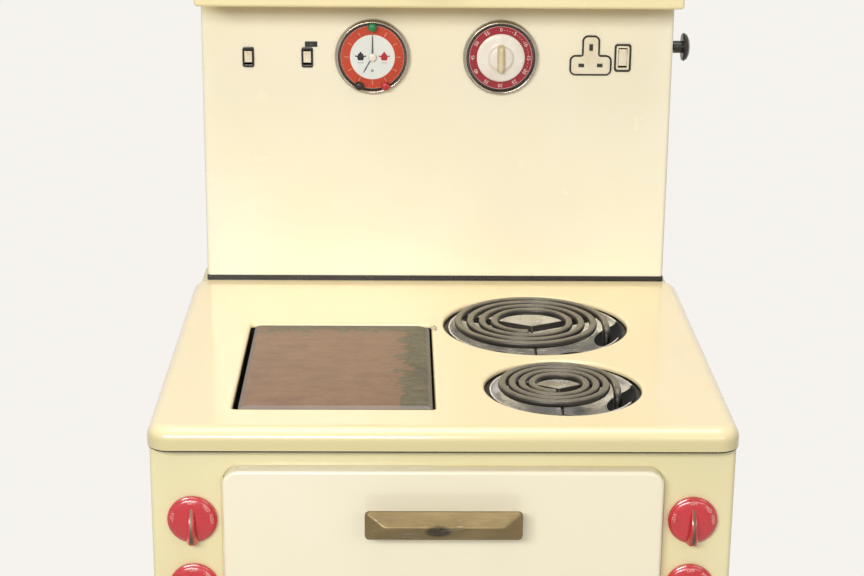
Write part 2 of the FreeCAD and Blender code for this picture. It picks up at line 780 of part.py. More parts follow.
def drawer():
    """Pressed front and an open box that slides on the rails of the base."""
    shell, room = pressed_front("drawer", drawer_low, drawer_high, s.drawer_thick)
    node(cut("drawer_front", shell, room))
    wall, half = s.sheet_wall, drawer_half
    start, end = door_face + s.drawer_thick, door_face + s.drawer_depth
    box = block("drawer outside", (-half, half), (start, end), (drawer_floor, drawer_high - 40))
    backing = block("drawer backing", (-half_door, half_door), (start, start + wall),
                    (drawer_low + s.door_corner, drawer_high - s.door_corner))
    inside = block("drawer inside", (-half + wall, half - wall), (start + wall, end - wall),
                   (drawer_floor + wall, drawer_high))
    node(cut("drawer_box", fuse("drawer body", box, backing), inside))


drawer_half = half_door - 20
drawer_floor = drawer_low + 10


def drawer_rails():
    """Folded rails that stand on the base and carry the drawer."""
    rail = 12.0
    spans = ((-drawer_half, -drawer_half + rail), (drawer_half - rail, drawer_half))
    return [block("drawer rail", span, (body_y + s.frame_depth + 2, door_face + s.drawer_depth),
                  (floor_z, drawer_floor - s.fit_gap)) for span in spans]


# ---------------------------------------------------------------- controls on the front


def knobs():
    """Round knobs with a tapering grip bar, each on the spindle of its regulator."""
    names = ("knob_lower_left", "knob_upper_left", "knob_lower_right", "knob_upper_right")
    places = sorted(knob_places(), key=lambda spot: (spot[0].value, spot[1].value))
    radius, deep = s.knob_radius, s.knob_deep
    stand = 1.0
    for name, (x, z) in zip(names, places):
        skirt = lathe(name + " skirt", [(0, 0), (radius, 0), (radius, 4), (radius - 3, 9),
                                        (radius - 8, 11), (0, 11.5)], x, body_y - stand, z, "-Y")
        bar = doc.addObject("Part::Wedge", "Grip")
        bar.Label = name + " grip"
        for prop, size in (("Xmin", -2.5), ("Xmax", 2.5), ("X2min", -7), ("X2max", 7),
                           ("Zmin", -radius + 6), ("Zmax", radius - 6), ("Z2min", -radius + 2),
                           ("Z2max", radius - 2), ("Ymin", 0), ("Ymax", deep - 6)):
            bind(bar, prop, size)
        place(bar, x, body_y - stand - deep, z)
        shaft = rod(name + " spindle", (x, body_y - stand - 6, z), s.spindle,
                    s.sheet_wall + stand + 6 + 20, "+Y")
        node(fuse(name, skirt, bar, shaft))


def regulators():
    """Switch housings behind the front frame, one on each spindle."""
    half, deep = s.regulator_side / 2, s.regulator_deep
    start = body_y + s.sheet_wall
    housings = []
    for x, z in knob_places():
        case = block("housing", (x - half, x + half), (start, start + deep), (z - half, z + half))
        bore = rod("spindle bore", (x, start - 1, z), s.spindle + s.pin_play, 23, "+Y")
        housings.append(cut("regulator", case, bore))
    return node(group("regulators", *housings))

# ---------------------------------------------------------------- hob

rear_y = upright_y - s.rear_reach
front_y = upright_y - s.front_reach
plate_y = upright_y - s.plate_reach
plate_top = hob_z + s.plate_proud
slot_x = -half_hob + s.slot_inset
plate_x = slot_x + s.plate_shift
rings = (
    ("rear", half_hob - s.rear_inset, rear_y, s.rear_hole, s.rear_coil, s.rear_pitch),
    ("front", half_hob - s.front_inset, front_y, s.front_hole, s.front_coil, s.front_pitch),
)


def plate_hole(name, gap, low, high):
    half_x, half_y = s.plate_width / 2 + gap, s.plate_depth / 2 + gap
    return block(name, (slot_x - half_x, slot_x + half_x), (plate_y - half_y, plate_y + half_y),
                 (low, high))


def hob_top():
    """Pressed top with a rolled edge, a hotplate opening and two round ones with ledges."""
    wall, half = s.sheet_wall, half_hob
    shell = rounded_slab("hob shell", "XY_Plane", (-half, half), (hob_front, hob_back), (seam_z, hob_z),
                         s.hob_corner, "Z", ("Z", hob_z), s.hob_roll)
    room = rounded_slab("hob room", "XY_Plane", (-half + wall, half - wall),
                        (hob_front + wall, hob_back - wall), (seam_z - 1, hob_z - wall),
                        s.hob_corner - wall, "Z", ("Z", hob_z - wall), s.hob_roll - wall)
    ledge_z = hob_z - s.bowl_drop - s.bowl_wall - s.seat_gap
    collars, holes = [], []
    for name, x, y, hole, _, _ in rings:
        collars.append(rod(name + " collar", (x, y, ledge_z - wall), hole + wall, hob_z - ledge_z))
        holes.append(rod(name + " opening", (x, y, ledge_z), hole, s.hob_skirt))
        holes.append(rod(name + " ledge opening", (x, y, seam_z), hole - s.ledge_wide, s.hob_skirt))
    slot = plate_hole("hotplate opening", s.plate_gap, seam_z - 2, hob_z + 2)
    fixing = block("fixing strip", (-half + s.hob_roll, half - s.hob_roll),
                   (hob_back - 14, hob_back - wall), (seam_z, seam_z + wall))
    return node(cut("hob_top", fuse("hob body", cut("hob sheet", shell, room), *collars, fixing),
                    *holes, slot))


def sealing_strip():
    return node(block("sealing_strip", (-half_upright, half_upright), (upright_y - 1, hob_back),
                      (hob_z, upright_low)))


def hotplate():
    """Cast plate with a bevelled top edge and a hanging rim at its back."""
    half_x, half_y = s.plate_width / 2, s.plate_depth / 2
    plate = prism("hotplate", "XY_Plane",
                  box_points(plate_x - half_x, plate_x + half_x, plate_y - half_y, plate_y + half_y),
                  plate_top - s.plate_thick, plate_top)
    tip = plate.Tip
    names = [f"Edge{i}" for i, edge in enumerate(tip.Shape.Edges, start=1)
             if lying("Z", plate_top)(edge)]
    bevel = plate.newObject("PartDesign::Chamfer", "Bevel")
    bevel.Base = (tip, names)
    bevel.ChamferType = "Two distances"
    bind(bevel, "Size", 2.4)
    bind(bevel, "Size2", s.plate_bevel)
    doc.recompute()
    return node(plate)


def hotplate_tray():
    """Dark pan under the hob that carries the hotplate, open at the top."""
    wall = s.liner_wall
    bottom = plate_top - s.plate_thick - 22
    outer = plate_hole("tray outside", s.plate_gap + wall + 2, bottom, hob_z - s.sheet_wall)
    inner = plate_hole("tray inside", s.plate_gap + 2, bottom + wall, hob_z)
    post_top = plate_top - s.plate_thick
    posts = [rod("post", (plate_x + dx, plate_y + dy, bottom + wall / 2), 7, post_top - bottom - wall / 2)
             for dx in (-s.plate_width / 2 + 25, s.plate_width / 2 - 25)
             for dy in (-s.plate_depth / 2 + 25, s.plate_depth / 2 - 25)]
    return node(fuse("hotplate_tray", cut("tray pan", outer, inner), *posts))


def leg_place(x, y, coil):
    """Where a coil's tube dives: at its right, in front of its middle."""
    return x - s.coil_shift + coil, y - leg_ahead


leg_ahead = 10.0 + s.coil_bend


def bowl(name, x, y, hole, coil, _):
    """Chromed bowl hung on the ledge of its opening, with a slot for the coil's tube."""
    rim_z = hob_z - s.bowl_drop
    wall, deep = s.bowl_wall, s.bowl_deep
    rim, brim, foot = hole - s.seat_gap - 0.3, hole - s.ledge_wide - 1.5, hole - s.ledge_wide - 7
    profile = [(0, -deep + 4), (20, -deep + 1), (foot, -deep), (brim, -wall), (rim, -wall), (rim, 0),
               (brim - wall, 0), (foot - wall, -deep + wall), (20, -deep + 1 + wall), (0, -deep + 4 + wall)]
    dish = lathe(name + " dish", profile, x, y, rim_z)
    leg_x, leg_y = leg_place(x, y, coil)
    slot = block(name + " slot", (leg_x - 9, leg_x + 22), (leg_y - 12, leg_y + 12),
                 (rim_z - deep - 5, rim_z - 3))
    vents = [rod(name + " vent", (x + hole * dx, y + hole * dy, rim_z - deep - 5), 9, deep + 1)
             for dx, dy in ((-0.36, -0.66), (0.30, -0.70))]
    return node(cut(name + "_ring_bowl", dish, slot, *vents))


def terminal_blocks():
    """Ceramic blocks clipped under the bowls, which hold the coils' tails."""
    blocks = []
    top = hob_z - s.bowl_drop - s.bowl_deep
    for name, x, y, _, coil, _ in rings:
        leg_x, leg_y = leg_place(x, y, coil)
        body = block(name + " block", (leg_x - 24, leg_x + 10), (leg_y - 16, leg_y + 16),
                     (top - 20, top))
        side = s.coil_tube / 2 + 0.5
        mouth = block(name + " block mouth", (leg_x - 7, leg_x + 8), (leg_y - side, leg_y + side),
                      (top - 16, top + 1))
        blocks.append(cut(name + " terminal", body, mouth))
    return node(group("terminal_blocks", *blocks))


COIL_TURNS = 3.75


def coil_path(x, y, coil, pitch):
    """Centre line of a flat spiral of half circles, with its outer end diving to the terminal."""
    z = hob_z + s.coil_rise
    bend = s.coil_bend.value
    leg_x, leg_y = leg_place(x, y, coil)
    start = V(leg_x.value, leg_y.value, (hob_z - s.bowl_drop - s.bowl_deep - 8).value)
    level_z = z.value
    turn_from = V(start.x, start.y, level_z - bend)
    turn_to = V(start.x, start.y + bend, level_z)
    slant = bend * (1 - math.sqrt(0.5))
    knee = V(start.x, start.y + slant, level_z - slant)
    entry = V(start.x, y.value, level_z)
    edges = [Part.LineSegment(start, turn_from).toShape(), Part.Arc(turn_from, knee, turn_to).toShape(),
             Part.LineSegment(turn_to, entry).toShape()]
    radius, join = coil.value, entry
    side, left = 1, COIL_TURNS * 2
    while left > 1e-6:
        part = min(left, 1.0)
        centre = join - V(side * radius, 0, 0)
        begin = 0 if side > 0 else math.pi
        points = [centre + V(math.cos(begin + math.pi * part * step), math.sin(begin + math.pi * part * step), 0)
                  * radius for step in (0, 0.5, 1)]
        edges.append(Part.Arc(*points).toShape())
        join, side, left = points[2], -side, left - part
        radius -= pitch.value / 2
    return Part.Wire(edges), start


def self_gap(path, tube):
    """Least clear space between stretches of the tube that are more than a third of a turn apart."""
    points = path.discretize(Distance=2.0)
    apart = 30
    gaps = [points[i].distanceToPoint(points[j])
            for i in range(len(points)) for j in range(i + apart, len(points))]
    return min(gaps) - tube


def coil(name, x, y, _, radius, pitch):
    """Radiant tube: one unbroken spiral, pressed flat on top, in through its terminal."""
    path, start = coil_path(x, y, radius, pitch)
    ring = Part.Wire(Part.Circle(start, V(0, 0, 1), s.coil_tube.value / 2).toShape())
    tube = path.makePipeShell([ring], True, False)
    print(f"{name} coil: least gap to itself {self_gap(path, s.coil_tube.value):.2f} mm")
    flat = (hob_z + s.coil_rise + s.coil_tube / 2 - s.coil_flat).value
    reach = radius.value * 2
    press = Part.makeBox(reach * 2, reach * 2, 10, V(x.value - reach, y.value - reach, flat))
    return node(fixed_shape(name + "_ring_coil", tube.cut(press)))


def coil_support(name, x, y, _, radius, pitch):
    """Three flat arms on edge under the coil, meeting in its middle."""
    middle = x - s.coil_shift
    top = hob_z + s.coil_rise - s.coil_tube / 2 - 0.1
    deep, thick = 7.0, 1.6
    arms = []
    for degrees in (28, 152, 270):
        arm = block(name + " arm", (0, radius + 3), (-thick / 2, thick / 2), (top - deep, top))
        spin = FreeCAD.Rotation(V(0, 0, 1), degrees)
        arm.Placement = FreeCAD.Placement(V(middle.value, y.value, (top - deep).value), spin)
        lift = spin.multVec(V(0, -thick / 2, 0))
        for axis, size, shift in (("x", middle, lift.x), ("y", y, lift.y)):
            bind(arm, f"Placement.Base.{axis}", size + shift)
        arms.append(arm)
    return node(fuse(name + "_ring_support", *arms))

# ---------------------------------------------------------------- upright

dial_z = hob_z + s.dial_height
rocker_z = hob_z + s.rocker_height
socket_z = hob_z + s.socket_height
outlet_z = hob_z + s.outlet_height
push_y = upright_y + s.push_setback
push_z = hob_z + s.push_height
rockers = (
    ("grill_switch", s.rocker_left, rocker_z, s.rocker_wide, s.rocker_high),
    ("light_switch", s.rocker_next, rocker_z, s.rocker_wide, s.rocker_high),
    ("socket_switch", s.outlet_x, outlet_z, s.outlet_wide, s.outlet_high),
)


def splashback():
    """The upright's front and sides in one folded sheet, with openings for what it carries."""
    wall = s.sheet_wall
    end = back_y - wall
    lower = prism("upright skirt", "YZ_Plane",
                  [(upright_y, upright_low), (hob_back + s.seam_gap, upright_low),
                   (hob_back + s.seam_gap, body_top), (end, body_top), (end, grill_low),
                   (upright_y, grill_low)], -half_upright, half_upright)
    rounded(lower, s.upright_corner, along("Z", level("Y", upright_y)))
    room = prism("upright room", "XZ_Plane",
                 box_points(-half_upright + wall, half_upright - wall, body_top - 1, grill_low - wall),
                 upright_y + wall, end + 1)
    rounded(room, s.upright_corner - wall, along("Z", level("Y", upright_y + wall)))
    holes = [rod("dial hole", (x, upright_y - 1, dial_z), s.case_radius + s.seat_gap, 12, "+Y")
             for x in (s.clock_x, s.timer_x)]
    for name, x, z, wide, high in rockers:
        half_x, half_z = wide / 2 + 1.4, high / 2 + 1.4
        holes.append(block(name + " hole", (x - half_x, x + half_x), (upright_y - 1, upright_y + 5),
                           (z - half_z, z + half_z)))
    holes.append(rod("push hole", (half_upright - 6, push_y, push_z), push_stem + s.pin_play, 12, "+X"))
    return node(cut("splashback", lower, room, *holes))


push_stem = 4.0


def dial_case(label, x):
    """Chromed rim in front of the upright and a round body behind it."""
    rim, body, proud = s.dial_radius, s.case_radius, s.dial_proud
    face = dial_sink
    profile = [(0, -s.case_deep), (body, -s.case_deep), (body, 0), (rim, 0), (rim, proud - 4),
               (rim - 1.5, proud - 1), (rim - 3.5, proud), (rim - 5, proud - 1.2), (rim - 5.5, face),
               (0, face)]
    case = lathe(label + " turned", profile, x, upright_y, dial_z, "-Y")
    arbor = rod(label + " arbor hole", (x, upright_y - s.dial_proud, dial_z), arbor_radius + s.pin_play,
                s.dial_proud + 12, "+Y")
    return case, arbor


dial_sink = 4.0
dial_card = 1.0
arbor_radius = 1.6


def peg_places():
    """The clock's three setting knobs: at the top, and 25 degrees to each side of the foot."""
    reach = s.dial_radius - 8.3
    return [(name, s.clock_x + reach * math.sin(math.radians(hour * 30)),
             dial_z + reach * math.cos(math.radians(hour * 30)))
            for name, hour in (("auto_peg", 12), ("start_peg", 6.83), ("finish_peg", 5.17))]


def clock():
    case, arbor = dial_case("clock", s.clock_x)
    shafts = [rod("peg hole", (x, upright_y - s.dial_proud, z), peg_shaft + s.pin_play,
                  s.dial_proud + 12, "+Y") for _, x, z in peg_places()]
    node(cut("clock_case", case, arbor, *shafts))
    card_y = upright_y - dial_sink - dial_card
    card = rod("clock card", (s.clock_x, card_y, dial_z), s.dial_radius - 5.5 - s.seat_gap, dial_card, "+Y")
    node(cut("clock_dial", card, arbor, *shafts))
    rim_y = upright_y - s.dial_proud
    for name, x, z in peg_places():
        head = lathe(name + " head", [(0, 0), (4.4, 0), (5.2, 2), (5.4, 5.5), (4.4, 8), (0, 8)],
                     x, rim_y - s.fit_gap, z, "-Y")
        shaft = rod(name + " shaft", (x, rim_y - 1, z), peg_shaft, s.dial_proud + 1 - s.fit_gap, "+Y")
        node(fuse(name, head, shaft))
    hour_y = card_y - s.fit_gap
    ring = rod("hour ring", (s.clock_x, hour_y - 0.8, dial_z), 3.6, 0.8, "+Y")
    blade = prism("hour blade", "XZ_Plane", [(-0.9, 2), (0.9, 2), (0.4, 21), (-0.4, 21)],
                  -0.8, 0)
    turn = FreeCAD.Rotation(V(0, 1, 0), 210)
    blade.Placement = FreeCAD.Placement(V(s.clock_x.value, hour_y.value, dial_z.value), turn)
    for axis, size in (("x", s.clock_x), ("y", hour_y), ("z", dial_z)):
        bind(blade, f"Placement.Base.{axis}", size)
    node(cut("hour_hand", fuse("hour body", ring, blade), arbor))
    minute_y = hour_y - 0.8 - s.fit_gap
    hub = lathe("hub", [(0, 0), (4.2, 0), (4.2, 1.4), (3, 2.6), (0, 3)],
                s.clock_x, minute_y, dial_z, "-Y")
    needle = prism("needle", "XZ_Plane", [(s.clock_x - 0.8, dial_z + 3), (s.clock_x + 0.8, dial_z + 3),
                                          (s.clock_x + 0.35, dial_z + 29), (s.clock_x - 0.35, dial_z + 29)],
                   minute_y - 0.8, minute_y)
    post = rod("minute arbor", (s.clock_x, minute_y - 0.5, dial_z), arbor_radius, 14, "+Y")
    node(fuse("minute_hand", hub, needle, post))


peg_shaft = 1.4


def timer():
    """Minute timer: its numbered ring stands still and the bar knob turns."""
    case, arbor = dial_case("timer", s.timer_x)
    node(cut("timer_case", case, arbor))
    card_y = upright_y - dial_sink - dial_card
    card = rod("timer card", (s.timer_x, card_y, dial_z), s.dial_radius - 5.5 - s.seat_gap, dial_card, "+Y")
    node(cut("timer_dial", card, arbor))
    start = card_y - s.fit_gap
    disc = lathe("timer disc", [(0, 0), (27.5, 0), (27.5, 1.2), (25.5, 2.4), (14, 3.2), (12.5, 7), (0, 8)],
                 s.timer_x, start, dial_z, "-Y")
    grip = doc.addObject("Part::Wedge", "Grip")
    grip.Label = "timer grip"
    for prop, size in (("Xmin", -1.6), ("Xmax", 1.6), ("X2min", -4.0), ("X2max", 4.0), ("Zmin", -12),
                       ("Zmax", 12), ("Z2min", -14), ("Z2max", 14), ("Ymin", 0), ("Ymax", 14)):
        bind(grip, prop, size)
    place(grip, s.timer_x, start - 16.5, dial_z)
    post = rod("timer arbor", (s.timer_x, start - 1, dial_z), arbor_radius, 14, "+Y")
    node(fuse("timer_knob", disc, grip, post))


def lobes(grow):
    """Outline of the socket's face, a low wide lobe under a narrow one, grown on every side."""
    low = socket_z - s.socket_high / 2 - grow
    shoulder = socket_z + s.socket_high / 2 + grow
    top = socket_z - s.socket_high / 2 + s.socket_rise + grow
    wide, narrow = s.socket_wide / 2 + grow, s.socket_lobe / 2 + grow
    x = s.socket_x
    return [(x - wide, low), (x + wide, low), (x + wide, shoulder), (x + narrow, shoulder),
            (x + narrow, top), (x - narrow, top), (x - narrow, shoulder), (x - wide, shoulder)]


def lobed(name, grow, near, far):
    return rounded(prism(name, "XZ_Plane", lobes(grow), near, far), 5.0, along("Y"))


def switch_bezels():
    """Black edging of the rocker switches and of the socket, with ears for the rockers' pins."""
    near, deep = upright_y - s.bezel_proud, 9.0
    frames = []
    for name, x, z, wide, high in rockers:
        half_x, half_z = wide / 2 + s.bezel_side, high / 2 + s.bezel_end
        face = block(name + " rim", (x - half_x, x + half_x), (near, upright_y), (z - half_z, z + half_z))
        sleeve = block(name + " sleeve", (x - wide / 2 - 1.2, x + wide / 2 + 1.2),
                       (upright_y - 0.5, upright_y + deep), (z - high / 2 - 1.2, z + high / 2 + 1.2))
        inside = block(name + " inside", (x - wide / 2 - 0.4, x + wide / 2 + 0.4),
                       (near - 1, upright_y + deep + 1), (z - high / 2 - 0.5, z + high / 2 + 0.5))
        pin = rod(name + " pin way", (x - wide, upright_y + 3, z), rocker_pin + s.pin_play,
                  wide * 2, "+X")
        frames.append(cut(name + " bezel", fuse(name + " frame", face, sleeve), inside, pin))
    edging = cut("socket edging", lobed("edging outside", s.outline_wide, near, upright_y),
                 lobed("edging inside", s.seat_gap, near - 1, upright_y + 1))
    return node(group("switch_bezels", *frames, edging))


rocker_pin = 0.8


def rocker_switches():
    """Each rocker is two flats at an angle, with a stub pin at each side."""
    for name, x, z, wide, high in rockers:
        front, back = upright_y - s.bezel_proud, upright_y + 6
        top, low = z + high / 2, z - high / 2
        paddle = prism(name + " paddle", "YZ_Plane",
                       [(front - 2.6, top - 1.9), (front - 0.4, z), (front - 0.2, low + 0.2),
                        (upright_y, low), (back, z - high / 4), (back, z + high / 4),
                        (upright_y, top - 0.4)], x - wide / 2, x + wide / 2)
        pin = rod(name + " pin", (x - wide / 2 - 1.1, upright_y + 3, z), rocker_pin, wide + 2.2, "+X")
        node(fuse(name, paddle, pin))


def socket_plate():
    near = upright_y - s.bezel_proud + 0.4
    face = lobed("socket face", 0, near, upright_y)
    slots = [block("pin slot", (s.socket_x + dx - 3.5, s.socket_x + dx + 3.5), (near - 1, upright_y - 0.6),
                   (socket_z - 2.6, socket_z + 2.6)) for dx in (-11.1, 11.1)]
    slots.append(block("earth slot", (s.socket_x - 2.5, s.socket_x + 2.5), (near - 1, upright_y - 0.6),
                       (socket_z + 17.4, socket_z + 26.2)))
    return node(cut("socket_plate", face, *slots))


def side_knob():
    """Mushroom push knob on the right of the upright, on a stem through its side."""
    radius, proud = s.push_radius, s.push_proud
    profile = [(0, -14), (push_stem, -14), (push_stem, s.push_travel + 0.5), (7.5, s.push_travel + 0.5),
               (7.5, proud - 8), (radius - 1, proud - 8), (radius, proud - 6), (radius - 2, proud - 2.5),
               (radius - 7, proud), (0, proud)]
    return node(lathe("side_knob", profile, half_upright, push_y, push_z, "+X"))


# ---------------------------------------------------------------- grill

mouth_low = grill_low + s.mouth_lift
mouth_high = mouth_low + s.mouth_height
half_mouth = half_grill - s.mouth_inset
half_pan = half_mouth - s.pan_inset
grill_end = grill_front + s.grill_depth
pan_z = mouth_low + 46


def grill_casing():
    wall, half = s.sheet_wall, half_grill
    end = back_y - s.sheet_wall
    shell = rounded_slab("grill shell", "XZ_Plane", (-half, half), (grill_front, end),
                         (grill_low, grill_high), s.grill_corner, "Y", ("Y", grill_front),
                         s.grill_corner - 0.5)
    room = rounded_slab("grill room", "XZ_Plane", (-half + wall, half - wall), (grill_front + wall, end + 1),
                        (grill_low + wall, grill_high - wall), s.grill_corner - wall, "Y",
                        ("Y", grill_front + wall), s.grill_corner - 0.5 - wall)
    mouth = block("grill mouth", (-half_mouth, half_mouth), (grill_front - 1, grill_front + 5),
                  (mouth_low, mouth_high))
    return node(cut("grill_casing", shell, room, mouth))


def grill_liner():
    """Bright lining with a ledge along each side for the pan's rim."""
    wall = s.liner_wall
    start = grill_front + s.sheet_wall
    shell = block("liner shell", (-half_mouth - wall, half_mouth + wall), (start, grill_end + wall),
                  (mouth_low - wall, mouth_high + wall))
    room = block("liner room", (-half_mouth, half_mouth), (start - 1, grill_end),
                 (mouth_low, mouth_high))
    lip = prism("liner lip", "XZ_Plane",
                box_points(-half_mouth - 16, half_mouth + 16, mouth_low - 12, mouth_high + 12),
                start, start + wall)
    rail_x = half_pan - 8
    rails = []
    for side in (-1, 1):
        xs = (rail_x, half_mouth) if side > 0 else (-half_mouth, -rail_x)
        rails.append(block("pan rail", xs, (start, grill_end),
                           (pan_z - s.seat_gap - wall, pan_z - s.seat_gap)))
    tails = [rod("grill tail hole", (x, grill_end - 5, mouth_high - 16), 3.7, 20, "+Y")
             for x in grill_tails()]
    return node(cut("grill_liner", fuse("liner body", cut("liner box", fuse("liner outer", shell, lip), room),
                                        *rails), *tails))


def grill_tails():
    half = half_pan - 30
    return (-half, half)


def grill_element():
    """Heating tube in long loops under the roof of the grill."""
    half = grill_tails()[1]
    z, front, back, loops = mouth_high - 16, grill_front + 34, grill_end - 34, 4
    points = [(-half, grill_end + 24, z), (-half, front, z)]
    step = half * 2 / (loops * 2 - 1)
    for index in range(1, loops * 2 - 1):
        x = -half + step * index
        ends = (front, back) if index % 2 else (back, front)
        points += [(x, ends[0], z), (x, ends[1], z)]
    points += [(half, front, z), (half, grill_end + 24, z)]
    return node(bent_wire("grill_element", points, 15, 3.4))


def grill_pan():
    """Enamelled pan with a rim, its handle and the wire rack that stands in it."""
    wall, rim = s.liner_wall, 14.0
    half = half_pan
    front = grill_front + 4
    back = front + s.pan_depth
    low = pan_z - s.pan_height + wall
    well = block("pan well", (-half + rim, half - rim), (front + rim, back - rim), (low, pan_z + wall))
    brim = block("pan brim", (-half, half), (front, back), (pan_z, pan_z + wall))
    hollow = block("pan hollow", (-half + rim + wall, half - rim - wall),
                   (front + rim + wall, back - rim - wall), (low + wall, pan_z + wall + 1))
    node(cut("grill_pan", fuse("pan body", well, brim), hollow))
    grip = block("pan grip", (-15, 15), (front - s.pan_handle, front), (pan_z - 12, pan_z + 2))
    bracket = block("pan bracket", (-22, 22), (front, front + 2.4), (pan_z - 14, pan_z))
    heel = block("pan heel", (-15, 15), (front + 2.4, front + rim), (pan_z - 14, pan_z - 8))
    node(fuse("grill_pan_handle", grip, bracket, heel))
    wire, rack_half = 2.0, half - rim - wall - 2
    rack_z = low + wall + 14
    span = (front + rim + wall + 2, back - rim - wall - 2)
    sides = [rod("rack side", (-rack_half, y, rack_z), wire, rack_half * 2, "+X")
             for y in (span[0] + wire, span[1] - wire)]
    bars = [rod("rack bar", (-rack_half + rack_half * 2 * (i / 14), span[0], rack_z), 1.5,
                span[1] - span[0], "+Y") for i in range(1, 14)]
    legs = [rod("rack leg", (x, y, low + wall + 0.1), wire, rack_z - low - wall)
            for x in (-rack_half + 20, rack_half - 20) for y in (span[0] + wire, span[1] - wire)]
    return node(fuse("grill_rack", *sides, *bars, *legs))


# ---------------------------------------------------------------- assembly

plinth()
side_panels()
back_panel()
terminal_cover()
casing_screws()
front_frame()
oven_liner()
lining_blanket()
oven_element()
shelf_runners()
oven_shelf()
door_seal()
door_outer()
door_inner()
door_insulation()
handle("door_handle", door_high)
door_hinges()
hinge_brackets()
drawer()
handle("drawer_handle", drawer_high)
knobs()
regulators()
hob_top()
sealing_strip()
hotplate()
hotplate_tray()
for ring in rings:
    bowl(*ring)
    coil(*ring)
    coil_support(*ring)
terminal_blocks()
splashback()
clock()
timer()
switch_bezels()
rocker_switches()
socket_plate()
side_knob()
grill_casing()
grill_liner()
grill_element()
grill_pan()

doc.recompute()
failed = [item.Label for item in doc.Objects if {"Invalid", "Error"} & set(item.State)]
failed += [item.Label for item in nodes if item.Shape.isNull() or not item.Shape.isValid()]
if failed:
    raise RuntimeError("these did not build: " + ", ".join(failed))

os.makedirs("parts", exist_ok=True)
for item in nodes:
    item.Shape.exportStep(f"parts/{item.Label}.step")
print(f"{len(nodes)} parts")
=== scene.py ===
import math

import bmesh
import bpy
import numpy as np
from mathutils import Matrix, Vector
from mathutils.geometry import delaunay_2d_cdt


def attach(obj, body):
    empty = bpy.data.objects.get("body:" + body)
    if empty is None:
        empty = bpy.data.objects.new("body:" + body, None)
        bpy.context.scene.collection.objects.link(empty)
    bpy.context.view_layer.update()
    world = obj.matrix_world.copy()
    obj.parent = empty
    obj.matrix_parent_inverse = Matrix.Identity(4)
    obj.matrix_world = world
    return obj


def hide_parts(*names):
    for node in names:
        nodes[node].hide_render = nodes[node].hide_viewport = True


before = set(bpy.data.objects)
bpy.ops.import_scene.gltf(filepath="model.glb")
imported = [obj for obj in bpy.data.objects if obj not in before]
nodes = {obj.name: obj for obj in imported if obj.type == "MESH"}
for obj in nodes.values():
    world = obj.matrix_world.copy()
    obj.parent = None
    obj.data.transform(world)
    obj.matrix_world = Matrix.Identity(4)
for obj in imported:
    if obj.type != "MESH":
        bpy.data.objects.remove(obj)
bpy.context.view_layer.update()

mm = 0.001


def linear(hexColour):
    # an sRGB hex value as the linear colour that a socket takes
    parts = [int(hexColour[i:i + 2], 16) / 255 for i in (1, 3, 5)]
    return tuple(c / 12.92 if c <= 0.04045 else ((c + 0.055) / 1.055) ** 2.4 for c in parts) + (1.0,)


def addNode(tree, kind, settings=None, links=None, **attributes):
    # one shader node: attributes set on it, values on its sockets, links from other sockets
    node = tree.nodes.new(kind)
    for name, value in attributes.items():
        setattr(node, name, value)
    for name, value in (settings or {}).items():
        node.inputs[name].default_value = value
    for name, source in (links or {}).items():
        tree.links.new(source, node.inputs[name])
    return node


def newMaterial(name, metallic=0.0):
    made = bpy.data.materials.new(name)
    made.use_nodes = True
    tree = made.node_tree
    tree.nodes.clear()
    place = addNode(tree, "ShaderNodeTexCoord").outputs["Object"]
    shader = addNode(tree, "ShaderNodeBsdfPrincipled", {"Metallic": metallic})
    addNode(tree, "ShaderNodeOutputMaterial", links={"Surface": shader.outputs["BSDF"]})
    return made, tree, place, shader


def noise(tree, place, sizeMm, detail=2.0, stretch=(1, 1, 1), roughness=0.5):
    # a cloud pattern whose lumps are about sizeMm across, drawn out along an axis by stretch
    at = addNode(tree, "ShaderNodeMapping", {"Scale": stretch}, {"Vector": place}).outputs["Vector"]
    return addNode(tree, "ShaderNodeTexNoise", {"Scale": 1 / (sizeMm * mm), "Detail": detail,
                                                "Roughness": roughness}, {"Vector": at}).outputs["Fac"]


def ramp(tree, value, low, high, lowTo=0.0, highTo=1.0):
    return addNode(tree, "ShaderNodeMapRange", {"From Min": low, "From Max": high, "To Min": lowTo,
                                                "To Max": highTo}, {"Value": value}).outputs["Result"]


def blendColour(tree, share, first, second):
    # each of first and second is a hex value or another node's colour
    mix = addNode(tree, "ShaderNodeMix", data_type="RGBA")
    tree.links.new(share, mix.inputs[0])
    for index, colour in ((6, first), (7, second)):
        if isinstance(colour, str):
            mix.inputs[index].default_value = linear(colour)
        else:
            tree.links.new(colour, mix.inputs[index])
    return mix.outputs[2]


def bump(tree, shader, height, depthMm, strength=1.0):
    settings = {"Distance": depthMm * mm, "Strength": strength}
    node = addNode(tree, "ShaderNodeBump", settings, {"Height": height})
    tree.links.new(node.outputs["Normal"], shader.inputs["Normal"])


def maths(tree, operation, first, second):
    # a maths node whose two inputs are each a number or another node's output
    node = addNode(tree, "ShaderNodeMath", operation=operation)
    for index, value in enumerate((first, second)):
        if isinstance(value, (int, float)):
            node.inputs[index].default_value = value
        else:
            tree.links.new(value, node.inputs[index])
    return node.outputs[0]


def axisOf(tree, vector, axis):
    return addNode(tree, "ShaderNodeSeparateXYZ", links={"Vector": vector}).outputs[axis]


def reachFrom(tree, place, centre, half):
    # distance from centre counted in half widths, leaving out an axis whose half width is 0
    scale = [1 / width if width else 0 for width in half]
    shift = [-at * share for at, share in zip(centre, scale)]
    spot = addNode(tree, "ShaderNodeMapping", {"Scale": scale, "Location": shift}, {"Vector": place})
    reach = addNode(tree, "ShaderNodeVectorMath", links={0: spot.outputs[0]}, operation="LENGTH")
    return reach.outputs["Value"]


def dress(tree, shader, colour, roughness):
    tree.links.new(colour, shader.inputs["Base Color"])
    tree.links.new(roughness, shader.inputs["Roughness"])


